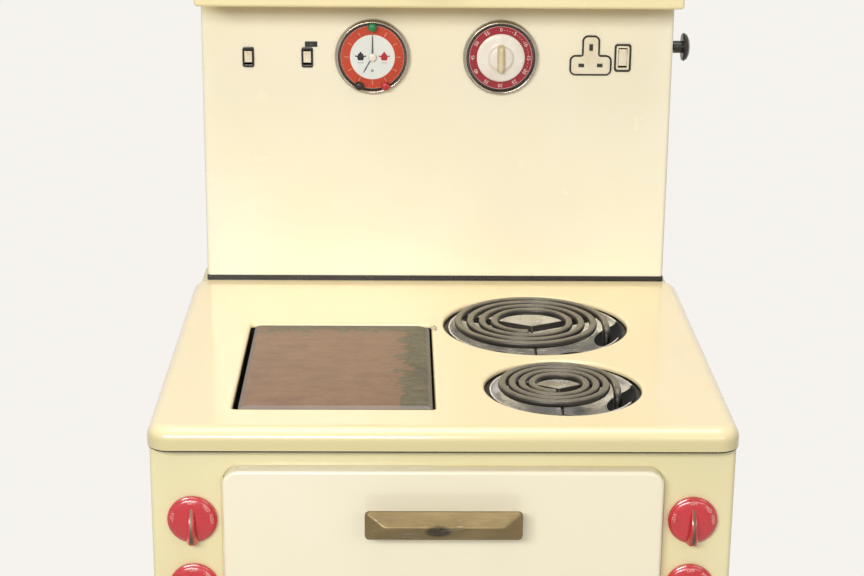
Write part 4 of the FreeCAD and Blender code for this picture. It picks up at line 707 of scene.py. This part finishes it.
def plateOutline(grow):
    # a rectangle with small round corners, the back right one cut off at 45 degrees
    p = plateShape
    halfX, halfY, cut = p["halfX"] + grow, p["halfY"] + grow, p["chamfer"] + grow * 0.4
    corners = [(-halfX, -halfY), (halfX, -halfY), (halfX, halfY - cut), (halfX - cut, halfY), (-halfX, halfY)]
    points = []
    for index, corner in enumerate(corners):
        here = np.array(corner)
        before, after = np.array(corners[index - 1]), np.array(corners[(index + 1) % 5])
        into = (here - before) / np.linalg.norm(here - before)
        out = (after - here) / np.linalg.norm(after - here)
        start, end = here - into * p["bend"], here + out * p["bend"]
        for share in np.linspace(0, 1, 6):
            # a quadratic curve from start to end with the corner as its middle control point
            points.append((1 - share) ** 2 * start + 2 * share * (1 - share) * here + share ** 2 * end)
    return np.array(points) + np.array([p["x"], p["y"]])


def hotplatePiece():
    # how far each outline grows and drops: the face, its softened rim, the ground bevel and the side
    p = plateShape
    run, drop = p["run"], p["drop"]
    steps = [(-run - 0.0006, 0), (-run, 0.00012), (-run + 0.0006, 0.0004), (-0.0008, drop),
             (-0.0001, drop + 0.0007), (0, drop + 0.0016), (0, p["top"] - p["low"])]
    rings = [planeRing(plateOutline(grow), p["top"] - down, "XY") for grow, down in steps]
    return loft("hotplatePiece", rings, firstCap=True, lastCap=True, sharpDegrees=25)


def facing(outline, x, z, front, thick=0.0001, turn=0.0):
    # a closed outline in millimetres as a thin slab that faces the viewer, turned clockwise by turn degrees
    a = math.radians(-turn)
    u, v = np.asarray(outline, float)[:, 0] * mm, np.asarray(outline, float)[:, 1] * mm
    placed = np.stack([u * math.cos(a) - v * math.sin(a), u * math.sin(a) + v * math.cos(a)], axis=1)
    rings = [planeRing(placed, depth, "XZ", (x, z)) for depth in (front, front + thick)]
    return loft("mark", rings, firstCap=True, lastCap=True)


def lettering(text, x, z, front, sizeMm, turn=0.0, thick=0.00012):
    # text as a thin raised mesh facing the viewer, its middle at (x, z), turned clockwise by turn degrees
    curve = bpy.data.curves.new("lettering", "FONT")
    curve.body = text
    curve.size = sizeMm * mm * 1.4
    curve.align_x, curve.align_y = "CENTER", "CENTER"
    curve.extrude = thick / 2
    curve.resolution_u = 3
    item = linked("lettering", curve)
    a = math.radians(-turn)
    right = Vector((math.cos(a), 0, math.sin(a)))
    up = Vector((-math.sin(a), 0, math.cos(a)))
    stand = Matrix((right, up, right.cross(up))).transposed().to_4x4()
    item.matrix_world = Matrix.Translation((x, front, z)) @ stand
    mesh = bpy.data.meshes.new_from_object(item)
    mesh.transform(item.matrix_world)
    bpy.data.objects.remove(item)
    return linked("lettering", mesh)


def band(name, inner, outer, x, z, layers, sides=120):
    # a flat ring between two radii in millimetres, some printed layers in front of the dials' cards
    thick, front = 0.12, dial["cardFront"] - layers * dial["layer"]
    profile = np.array([(inner, 0.0), (inner, thick), (outer, thick), (outer, 0.0), (inner, 0.0)]) * mm
    return lathe(name, profile, (x, front + thick * mm, z), "-Y", sides, capped=False)


def around(x, z, reachMm, clock):
    # the point at a clock hour, reachMm from (x, z)
    a = math.radians(clock * 30)
    return x + reachMm * mm * math.sin(a), z + reachMm * mm * math.cos(a)


# places in metres, radii in millimetres; layer is the thickness of print on the cards
dial = {"clockX": -0.0785, "timerX": 0.0757, "cardBack": 0.1890, "cardFront": 0.1880, "layer": 0.0001,
        "hourFront": 0.1870, "bossFront": 0.1876, "minuteFront": 0.1862, "discFront": 0.1877, "rim": 45.5,
        "card": 38.4, "gap": (38.2, 39.7), "white": 27.0, "bars": 31.2, "ticks": 36.4, "pegs": 37.2,
        "numbers": 33.6, "dots": 33.4}


def dialFace(name, x, cardInk, caseNode, dialNode, slot):
    # a chromed ring (outer flare, rolled crown, slope down to the card), the card and a black band round it,
    # painted shade for the gap between them
    r = dial["rim"]
    profile = [(38.0, -42), (38.0, 0.0), (r - 0.8, 0.0), (r, 0.5), (r, 2.6), (r - 0.35, 4.6), (r - 1.0, 6.6),
               (r - 1.8, 8.2), (r - 2.5, 8.85), (r - 3.2, 9.0), (r - 3.9, 8.7), (r - 4.5, 7.9),
               (r - 4.9, 6.9), (r - 5.3, 5.3), (r - 5.5, 4.6), (r - 5.5, 4.0), (0.0, 4.0)]
    case = turned(name + "Case", profile, (x, uprightY, dialZ), sides=128, sharpDegrees=40)
    settle(case, "cooker", rimChrome, "chromed", caseNode)
    edge = [(dial["card"], 0.0), (dial["card"], 0.9), (0, 0.9)]
    card = turned(name + "Card", edge, (x, dial["cardBack"], dialZ), sides=128)
    settle(card, "cooker", cardInk, slot, dialNode)
    # a black band between card and ring: painted shade for the gap
    settle(band(name + "Gap", *dial["gap"], x, dialZ, 2), "cooker", handSteel, slot)


def clockPieces():
    x, white = dial["clockX"], dial["white"]
    first, upper = dial["cardFront"] - dial["layer"], dial["cardFront"] - 2.4 * dial["layer"]
    dialFace("clock", x, silverCard, "clock_case", "clock_dial", "clock_face")
    settle(band("clockBand", white, 38.35, x, dialZ, 1), "cooker", orangeInk, "clock_face")
    marks = [band("bandEdge", radius - 0.22, radius + 0.22, x, dialZ, 2) for radius in (white, 38.0)]
    for hour in range(12):
        bar, tick = roundRect(0.42, 2.6, 0.3, 3), roundRect(0.16, 0.7, 0.1, 2)
        marks.append(facing(bar, *around(x, dialZ, dial["bars"], hour), upper, turn=hour * 30))
        for clock in (hour + 0.25, hour + 0.5, hour + 0.75):
            marks.append(facing(tick, *around(x, dialZ, dial["ticks"], clock), upper, turn=clock * 30))
    settle(joined("clockMarks", *marks), "cooker", fadedInk, "clock_face")
    # two cooking-pot signs, dark on the left and red on the right, and a small dot below
    pot = (([(-4.2, 0.2), (-3.4, -3.6), (-2.7, -4.1), (2.7, -4.1), (3.4, -3.6), (4.2, 0.2)], 0),
           (roundRect(6.8, 0.75, 0.4, 3), 1.0), (arcPoints(0, 1.8, 3.3, 0, 180, 12), 0),
           (roundRect(0.9, 0.6, 0.3, 3), 5.6), (roundRect(3.6, 0.2, 0.1, 2), -7.0))
    for offset, ink in ((-14.2, darkInk), (14.2, redInk)):
        parts = [facing(outline, x + offset * mm, dialZ + up * mm, first) for outline, up in pot]
        settle(joined("potSign", *parts), "cooker", ink, "clock_face")
    settle(band("clockDot", 0.7, 1.5, x, dialZ - 0.0165, 1, sides=32), "cooker", darkInk, "clock_face")


def clockHands():
    x = dial["clockX"]
    thick, sevenOClock = 0.0004, 210
    outline = [(-0.55, 3.2), (0.55, 3.2), (0.5, 19), (0.0, 22.4), (-0.5, 19)]
    blade = facing(outline, x, dialZ, dial["hourFront"], thick, sevenOClock)
    boss = np.array([(1.8, 0), (3.6, 0), (3.6, 0.7), (1.8, 0.7), (1.8, 0)]) * mm
    ring = lathe("hourBoss", boss, (x, dial["bossFront"], dialZ), "-Y", 48, capped=False)
    settle(joined("hourHand", blade, ring), "hour_hand_body", handSteel, "black_steel", "hour_hand")
    outline = [(-0.85, 3), (0.85, 3), (0.5, 24), (0.0, 29), (-0.5, 24)]
    needle = facing(outline, x, dialZ, dial["minuteFront"], thick)
    settle(needle, "minute_hand_body", handSteel, "black_steel", "minute_hand")
    hub = [(4.6, 0), (4.8, 0.3), (4.8, 1.5), (4.5, 2.1), (3.6, 2.7), (2.2, 3.05), (0, 3.15)]
    cap = turned("clockHub", hub, (x, dial["minuteFront"], dialZ), sides=64)
    settle(cap, "minute_hand_body", whitePlastic, "cream_plastic")


def peg(node, clock, material, slotName):
    # a round head on a pin, in front of the dial's rim
    x, z = around(dial["clockX"], dialZ, dial["pegs"], clock)
    profile = [(1.4, -8.4), (1.4, 0.0), (3.6, 0.0), (4.5, 0.5), (5.1, 1.8), (5.3, 3.6), (5.1, 5.4),
               (4.4, 6.8), (3.2, 7.7), (1.6, 8.0), (0, 8.0)]
    head = turned(node + "Head", profile, (x, uprightY - 0.0093, z), sides=48, sharpDegrees=50)
    settle(head, node + "_body", material, slotName, node)


def timerPieces():
    x, layer = dial["timerX"], dial["layer"]
    dialFace("timer", x, crimsonInk, "timer_case", "timer_dial", "timer_face")
    marks = [band("timerEdge", 37.5, 37.8, x, dialZ, 1)]
    for hour in range(12):
        at = around(x, dialZ, dial["numbers"], hour)
        marks.append(lettering(str(hour * 5), *at, dial["cardFront"] - layer, 4.4, hour * 30))
    for step in range(1, 20):
        if step % 5:
            at = around(x, dialZ, dial["dots"], step / 5)
            marks.append(facing(roundRect(0.42, 0.42, 0.4, 3), *at, dial["cardFront"] - 2 * layer))
    settle(joined("timerMarks", *marks), "cooker", paleInk, "timer_face")


def timerKnob():
    # a flat disc with a raised middle, and a bar across it whose ends curve down
    x, start = dial["timerX"], dial["discFront"]
    disc = [(0, 0), (28.4, 0.0), (28.9, 0.3), (28.9, 1.0), (28.2, 1.6), (26.0, 2.1), (20.0, 2.7), (17.0, 3.0),
            (15.6, 3.4), (15.0, 4.2), (14.6, 5.4), (13.6, 6.6), (11.6, 7.3), (0, 7.6)]
    base = turned("timerDisc", disc, (x, start, dialZ), sharpDegrees=50)
    rings = []
    for share in np.linspace(-1, 1, 22):
        end = math.sqrt(max(0.0, 1 - abs(share) ** 5))
        crown, half = 0.0115 + 0.0049 * end, 0.0044 * (0.55 + 0.45 * end)
        side = [(half * 1.15, 0.006), (half, crown * 0.62), (half * 0.62, crown * 0.93), (half * 0.25, crown)]
        profile = [(-u, h) for u, h in side] + side[::-1]
        rings.append([(x + u, start - h, dialZ - 0.0168 * share) for u, h in profile])
    bar = loft("timerBar", rings, firstCap=True, lastCap=True, sharpDegrees=50)
    settle(base, "timer_knob_body", whitePlastic, "cream_plastic", "timer_knob")
    settle(bar, "timer_knob_body", ivory, "cream_plastic")


# middle of each rocker in metres with its width and height in millimetres, and the socket's middle
switchPlaces = {"grill_switch": (-0.2275, 1.1852, 9, 16.5), "light_switch": (-0.1568, 1.1852, 9, 16.5),
                "socket_switch": (0.2229, 1.1868, 10, 23)}
socketPlace = (0.1843, 1.1776)


def framePiece(name, place, half, corner, inner, innerCorner, proud, round=0.6, deep=0.0):
    # a rounded frame standing proud of the upright, softened at its outer and inner edges, in millimetres
    steps = [(half, corner, 0, deep), (half, corner, 0, proud - round),
             (half, corner, -round * 0.3, proud - round * 0.3), (half, corner, -round, proud),
             (inner, innerCorner, round * 0.8, proud), (inner, innerCorner, round * 0.2, proud - round * 0.4),
             (inner, innerCorner, 0, proud - round), (inner, innerCorner, 0, -1.0)]
    rings = []
    for (halfX, halfZ), radius, grow, height in steps:
        outline = roundRect((halfX + grow) * mm, (halfZ + grow) * mm, (radius + grow) * mm, 8)
        rings.append(planeRing(outline, uprightY - height * mm, "XZ", place))
    return loft(name, rings, sharpDegrees=40)


def lobeOutline(grow, perCorner=8):
    # the socket's face in millimetres about its middle: a low wide lobe under a narrow one
    wide, narrow, low, high, top = 23.2 + grow, 8.5 + grow, -10.3 - grow, 10.3 + grow, 34.1 + grow
    corner, fillet = 5.0 + grow, max(0.4, 3.2 - grow)
    spots = [(-wide, low, corner), (wide, low, corner), (wide, high, corner), (narrow, high, fillet),
             (narrow, top, corner), (-narrow, top, corner), (-narrow, high, fillet), (-wide, high, corner)]
    points = []
    for index, (u, v, radius) in enumerate(spots):
        here = np.array([u, v])
        before, after = np.array(spots[index - 1][:2]), np.array(spots[(index + 1) % 8][:2])
        into = (here - before) / np.linalg.norm(here - before)
        out = (after - here) / np.linalg.norm(after - here)
        for a in np.linspace(0, math.pi / 2, perCorner):
            points.append(here - into * radius * (1 - math.sin(a)) + out * radius * (1 - math.cos(a)))
    return np.array(points) * mm


def rocker(node, x, z, wide, high):
    # two flats that meet at a soft valley, the upper end standing out, ribbed at its foot
    top = high / 2
    profile = [(top - 1.1, -2), (top - 0.7, 3.6), (top - 1.9, 4.5), (top / 2, 3.4), (0.6, 2.75), (-0.6, 2.65),
               (-top / 2, 2.55), (-top + 2.5, 2.5), (-top + 2.0, 1.9), (-top + 2.0, -2)]
    rings = []
    for share, inset in ((-1, 0.5), (-0.94, 0.12), (-0.86, 0), (0.86, 0), (0.94, 0.12), (1, 0.5)):
        rings.append([(x + share * wide / 2 * mm, uprightY - (h - (inset if h > 0 else 0)) * mm, z + v * mm)
                      for v, h in profile])
    paddle = loft(node + "Paddle", rings, firstCap=True, lastCap=True, sharpDegrees=28)
    settle(paddle, node + "_body", creamPlastic, "cream_plastic", node)


def switchPieces():
    outlet, socket = switchPlaces["socket_switch"][:2], socketPlace
    rims = [framePiece("rockerRim", switchPlaces[name][:2], (7.0, 12.3), 2.8, (4.9, 8.7), 0.8, 2.2)
            for name in ("grill_switch", "light_switch")]
    rims.append(framePiece("outletRim", outlet, (10.1, 17.0), 3.6, (7.9, 14.5), 2.2, 2.2))
    steps = [(2.2, 0.0), (2.2, 1.7), (1.8, 2.15), (0.55, 2.2), (0.15, 1.9), (0.15, -0.2)]
    rims.append(loft("socketEdging", [planeRing(lobeOutline(grow), uprightY - h * mm, "XZ", socket)
                                      for grow, h in steps], sharpDegrees=40))
    settle(joined("switchEdging", *rims), "cooker", blackPlastic, "black_plastic", "switch_bezels")
    # black slabs on the socket's face, painted shade standing in for the dark inside its pin holes
    slots = []
    for halfX, halfZ, u, v in ((3.3, 2.0, -11.1, 0), (3.3, 2.0, 11.1, 0), (2.1, 3.9, 0, 21.8)):
        outline = roundRect(halfX, halfZ, 0.3, 3)
        slots.append(facing(outline, socket[0] + u * mm, socket[1] + v * mm, uprightY - 0.00194))
    settle(joined("socketSlots", *slots), "cooker", handSteel, "black_plastic")
    surround = framePiece("outletSurround", outlet, (7.8, 14.4), 2.1, (5.4, 12.0), 0.6, 2.0, 0.5)
    settle(surround, "cooker", creamPlastic, "cream_plastic")
    tape = framePiece("tapeTab", (-0.15205, 1.20115), (7.5, 3.4), 0.6, (0.05, 0.05), 0.01, 0.35, 0.1)
    settle(tape, "cooker", blackPlastic, "black_plastic")


def seasonedIron(name):
    # ground cast plate: brown baked-on oil, grey-green scale along the right and the back, fine cross streaks
    p = plateShape
    made, tree, place, shader = newMaterial(name, 0.35)
    wander = noise(tree, place, 16, 7, (0.6, 1, 1), 0.7)
    streaks = noise(tree, place, 2.2, 4, (0.35, 1, 1), 0.7)
    fine = noise(tree, place, 0.8, 3, (0.12, 1, 1), 0.7)

    def scaled(axis, rim, start, end, sway):
        # 0 more than start inside the rim, 1 past end, the line between them swaying with the cloud
        drift = maths(tree, "ADD", maths(tree, "MULTIPLY", wander, sway), -sway * 0.5)
        return ramp(tree, maths(tree, "ADD", axisOf(tree, place, axis), drift), rim - start, rim - end)

    scale = maths(tree, "MAXIMUM", scaled("X", p["x"] + p["halfX"], 0.037, 0.030, 0.12),
                  scaled("Y", p["y"] + p["halfY"], 0.034, 0.016, 0.13))
    brown = blendColour(tree, ramp(tree, wander, 0.36, 0.66), "#836350", "#97765f")
    brown = blendColour(tree, ramp(tree, streaks, 0.4, 0.75, 0, 0.4), brown, "#a58c78")
    grey = blendColour(tree, ramp(tree, wander, 0.35, 0.62), "#4a4738", "#726b55")
    tone = blendColour(tree, scale, brown, grey)
    tone = blendColour(tree, ramp(tree, fine, 0.5, 0.8, 0, 0.4), tone, "#3b2f27")
    tone = blendColour(tree, ramp(tree, noise(tree, place, 1.3, 2), 0.70, 0.76, 0, 0.6), tone, "#b9a794")
    # the ground bevel stays cleaner and greyer than the face
    bevel = ramp(tree, axisOf(tree, place, "Z"), p["top"] - 0.0003, p["top"] - 0.0009, 0, 0.7)
    dress(tree, shader, blendColour(tree, bevel, tone, "#777069"), ramp(tree, streaks, 0.3, 0.7, 0.36, 0.58))
    bump(tree, shader, fine, 0.03, 0.5)
    return made


def wornBronze(name):
    # lacquered bronze handled for years: streaks along the bar, a dark rubbed patch and grey scuffs
    made, tree, place, shader = newMaterial(name, 0.75)
    streaks = noise(tree, place, 1.1, 4, (0.06, 1, 1), 0.65)
    clouds = noise(tree, place, 22, 4, (0.5, 1, 1), 0.6)
    tone = blendColour(tree, ramp(tree, clouds, 0.35, 0.7), "#8b7955", "#766544")
    tone = blendColour(tree, ramp(tree, streaks, 0.45, 0.75, 0, 0.4), tone, "#57462b")
    weave = noise(tree, place, 1.8, 3, (1, 1, 1.6), 0.7)
    ragged = maths(tree, "ADD", reachFrom(tree, place, (-0.00567, 0, 0.8072), (0.0135, 0, 0.0080)), weave)
    patch = maths(tree, "MULTIPLY", ramp(tree, ragged, 1.3, 1.6, 1, 0), ramp(tree, weave, 0.36, 0.5, 0.3, 1))
    tone = blendColour(tree, patch, tone, "#2f2a26")
    scuff = maths(tree, "MULTIPLY", ramp(tree, streaks, 0.56, 0.62), ramp(tree, clouds, 0.56, 0.62))
    dress(tree, shader, blendColour(tree, scuff, tone, "#9a948c"), ramp(tree, clouds, 0.3, 0.7, 0.36, 0.5))
    bump(tree, shader, streaks, 0.03, 0.5)
    return made


silverCard = paintedSteel("SilverPrintedCard", "#e9ebe6", "#dfe3de", 0.34)
orangeInk = paintedSteel("OrangePrintedBand", "#c2401f", "#b8381a", 0.34)
fadedInk = paintedSteel("FadedPrintedMarks", "#dd9a80", "#d08a6e", 0.5)
crimsonInk = paintedSteel("CrimsonPrintedCard", "#9d1d2b", "#93202c", 0.34)
paleInk = paintedSteel("PalePrintedMarks", "#efd9cf", "#ecd2c8", 0.5)
darkInk = paintedSteel("DarkPrintedSign", "#1c1d1f", "#2a2b2c", 0.5)
redInk = paintedSteel("RedPrintedSign", "#b5282c", "#ad2429", 0.5)
handSteel = paintedSteel("BlackenedHandSteel", "#1d1d1c", "#2b2a28", 0.4)
whitePlastic = mouldedPlastic("WhitePlasticHub", "#efe9df", 0.2, 0.15, "#e9e0d2")
ivory = mouldedPlastic("IvoryTimerKnob", "#e2d5b0", 0.2, 0.2, "#d8c99f")
greenPlastic = mouldedPlastic("GreenPlasticPeg", "#0f7a45", 0.2, 0.2, "#138a50")
pegRed = mouldedPlastic("RedPlasticPeg", "#b9202c", 0.22, 0.2, "#c22936")
print("building the pieces")
clockPieces()
clockHands()
timerPieces()
timerKnob()
peg("auto_peg", 12, greenPlastic, "green_plastic")
peg("start_peg", 6.83, blackPlastic, "black_plastic")
peg("finish_peg", 5.17, pegRed, "red_knob")
switchPieces()
for switchName, place in switchPlaces.items():
    rocker(switchName, *place)
settle(hobTop(), "cooker", creamHob, "cream_enamel", "hob_top")
settle(hobShadeBead(), "cooker", blackPlastic, "rubber_seal")
settle(gapLip("ovenGapLip", *fronts["oven"]), "cooker", cream, "cream_enamel")
settle(gapLip("drawerGapLip", *fronts["drawer"]), "cooker", cream, "cream_enamel")
bronze = wornBronze("WornLacqueredBronze")
handlePlaces = {"door_handle": ("oven_door", 0.810), "drawer_handle": ("drawer", 0.301)}
for handleName, (body, middleZ) in handlePlaces.items():
    settle(barHandle(handleName + "Bar", middleZ), body, bronze, "bronze", handleName)
settle(hotplatePiece(), "cooker", seasonedIron("SeasonedCastIron"), "plate_iron", "hotplate")
ringSheath = sheathedTube("RubbedRingSheath", darkBelowZ=hobZ - 0.001)
for ringName, (x, y, hole, radius, pitch) in ringPlaces.items():
    settle(bowlPiece(ringName + "Bowl", x, y, hole), "cooker",
           stainedBowl(ringName.capitalize() + "BowlChrome", x, y, bowlHoleShades[ringName]), "chromed",
           ringName + "_ring_bowl")
    settle(bowlShadeRing(ringName + "ShadeRing", x, y, hole), "cooker", blackSteel, "black_steel")
    settle(pressedTube(ringName + "Coil", coilPath(x, y, radius, pitch)), ringName + "_ring", ringSheath,
           "heating_tube", ringName + "_ring_coil")
knobPlaces = {"knob_upper_left": (-0.2557, 0.8016), "knob_lower_left": (-0.2557, 0.7266),
              "knob_upper_right": (0.2557, 0.8016), "knob_lower_right": (0.2557, 0.7266)}
redPlastic = mouldedPlastic("RedPhenolicKnob", "#c61b28", 0.2, 0.25, "#bb1622")
redPlastic.node_tree.nodes["Principled BSDF"].inputs["Coat Weight"].default_value = 0.8
knobMetal = zincSteel("KnobInlayMetal", "#746a58", "#544a3b", 0.45)
letterPaint = paintedSteel("WornLetterPaint", "#f0d3c4", "#d98f86", 0.5)
for knobName, (x, z) in knobPlaces.items():
    body = knobName + "_body"
    whole = joined(knobName + "Moulding", knobBody(knobName + "Dome", x, z), gripBar(knobName + "Bar", x, z))
    settle(whole, body, redPlastic, "red_knob", knobName)
    settle(knobInlay(knobName + "Inlay", x, z), body, knobMetal, "bronze")
    settle(knobLetters(knobName + "Letters", x, z), body, letterPaint, "cream_plastic")


def seenDirectly(tree):
    # 1 on rays from the camera or a mirror, 0 on the rays that light things
    path = addNode(tree, "ShaderNodeLightPath")
    return maths(tree, "MAXIMUM", path.outputs["Is Camera Ray"], path.outputs["Is Glossy Ray"])


def stageMaterial():
    # pale paper: most of what the camera and mirrors see is its own even tone, so a soft shadow still shows
    made, tree, _, shader = newMaterial("PalePaperStage")
    shader.inputs["Base Color"].default_value = linear("#b5b2ab")
    shader.inputs["Roughness"].default_value = 0.95
    own = addNode(tree, "ShaderNodeEmission", {"Color": linear("#faf7f2"), "Strength": 1.0})
    share = maths(tree, "MULTIPLY", seenDirectly(tree), 0.95)
    mix = addNode(tree, "ShaderNodeMixShader", links={0: share, 1: shader.outputs[0], 2: own.outputs[0]})
    output = tree.nodes["Material Output"]
    tree.links.new(mix.outputs[0], output.inputs["Surface"])
    return made


def stageSheet():
    # a wide flat floor, its edge beyond every view
    reach, below = 14.0, 0.0005
    rings = [[(x, y, -below) for x in (-reach, reach)] for y in np.linspace(-reach, reach, 15)]
    sheet = loft("stageSheet", rings, wrap=False, sharpDegrees=60)
    sheet.data.materials.append(stageMaterial())


def areaLight(name, position, target, size, power):
    lamp = bpy.data.lights.new(name, "AREA")
    lamp.shape = "RECTANGLE"
    lamp.size, lamp.size_y = size
    lamp.energy = power
    item = linked(name, lamp)
    item.location = position
    item.rotation_euler = (Vector(target) - Vector(position)).to_track_quat("-Z", "Y").to_euler()


def worldLight(showColour, fillStrength):
    # plain soft fill; the camera and mirrors see the pale background at strength 1
    world = bpy.data.worlds.new("PaleWorld")
    world.use_nodes = True
    tree = world.node_tree
    tree.nodes.clear()
    seen = addNode(tree, "ShaderNodeBackground", {"Color": linear(showColour), "Strength": 1.0})
    fill = addNode(tree, "ShaderNodeBackground", {"Color": (1, 1, 1, 1), "Strength": fillStrength})
    mix = addNode(tree, "ShaderNodeMixShader", links={0: seenDirectly(tree), 1: fill.outputs[0],
                                                      2: seen.outputs[0]})
    addNode(tree, "ShaderNodeOutputWorld", links={"Surface": mix.outputs[0]})
    bpy.context.scene.world = world


def cameraAt(position, pitch, yaw, roll, lens):
    p, w, r = (math.radians(v) for v in (pitch, yaw, roll))
    ahead = Vector((math.sin(w) * math.cos(p), math.cos(w) * math.cos(p), -math.sin(p)))
    right = Vector((math.cos(w), -math.sin(w), 0))
    up = right.cross(ahead)
    right, up = math.cos(r) * right + math.sin(r) * up, -math.sin(r) * right + math.cos(r) * up
    made = bpy.data.cameras.new("PhotoCamera")
    made.lens, made.sensor_width = lens, 36
    made.clip_start, made.clip_end = 0.05, 50
    item = linked("PhotoCamera", made)
    turn = Matrix((right, up, -ahead)).transposed().to_4x4()
    item.matrix_world = Matrix.Translation(position) @ turn
    bpy.context.scene.camera = item


stageSheet()
areaLight("OverheadSoftbox", (0.1, -0.4, 3.0), (0.05, -0.1, 0.9), (1.6, 1.2), 20)
areaLight("KeySoftbox", (-0.9, -3.0, 2.35), (0, 0, 0.95), (2.0, 0.7), 74)
areaLight("FrontFill", (1.5, -2.8, 2.2), (0, 0, 0.9), (1.6, 0.7), 10)
worldLight("#faf7f2", 0.33)
cameraAt(Vector((-0.048, -2.128, 1.626)), 17.48, 1.08, 0.54, 81.25)
bpy.context.scene.view_settings.view_transform = "Standard"
print("finished")
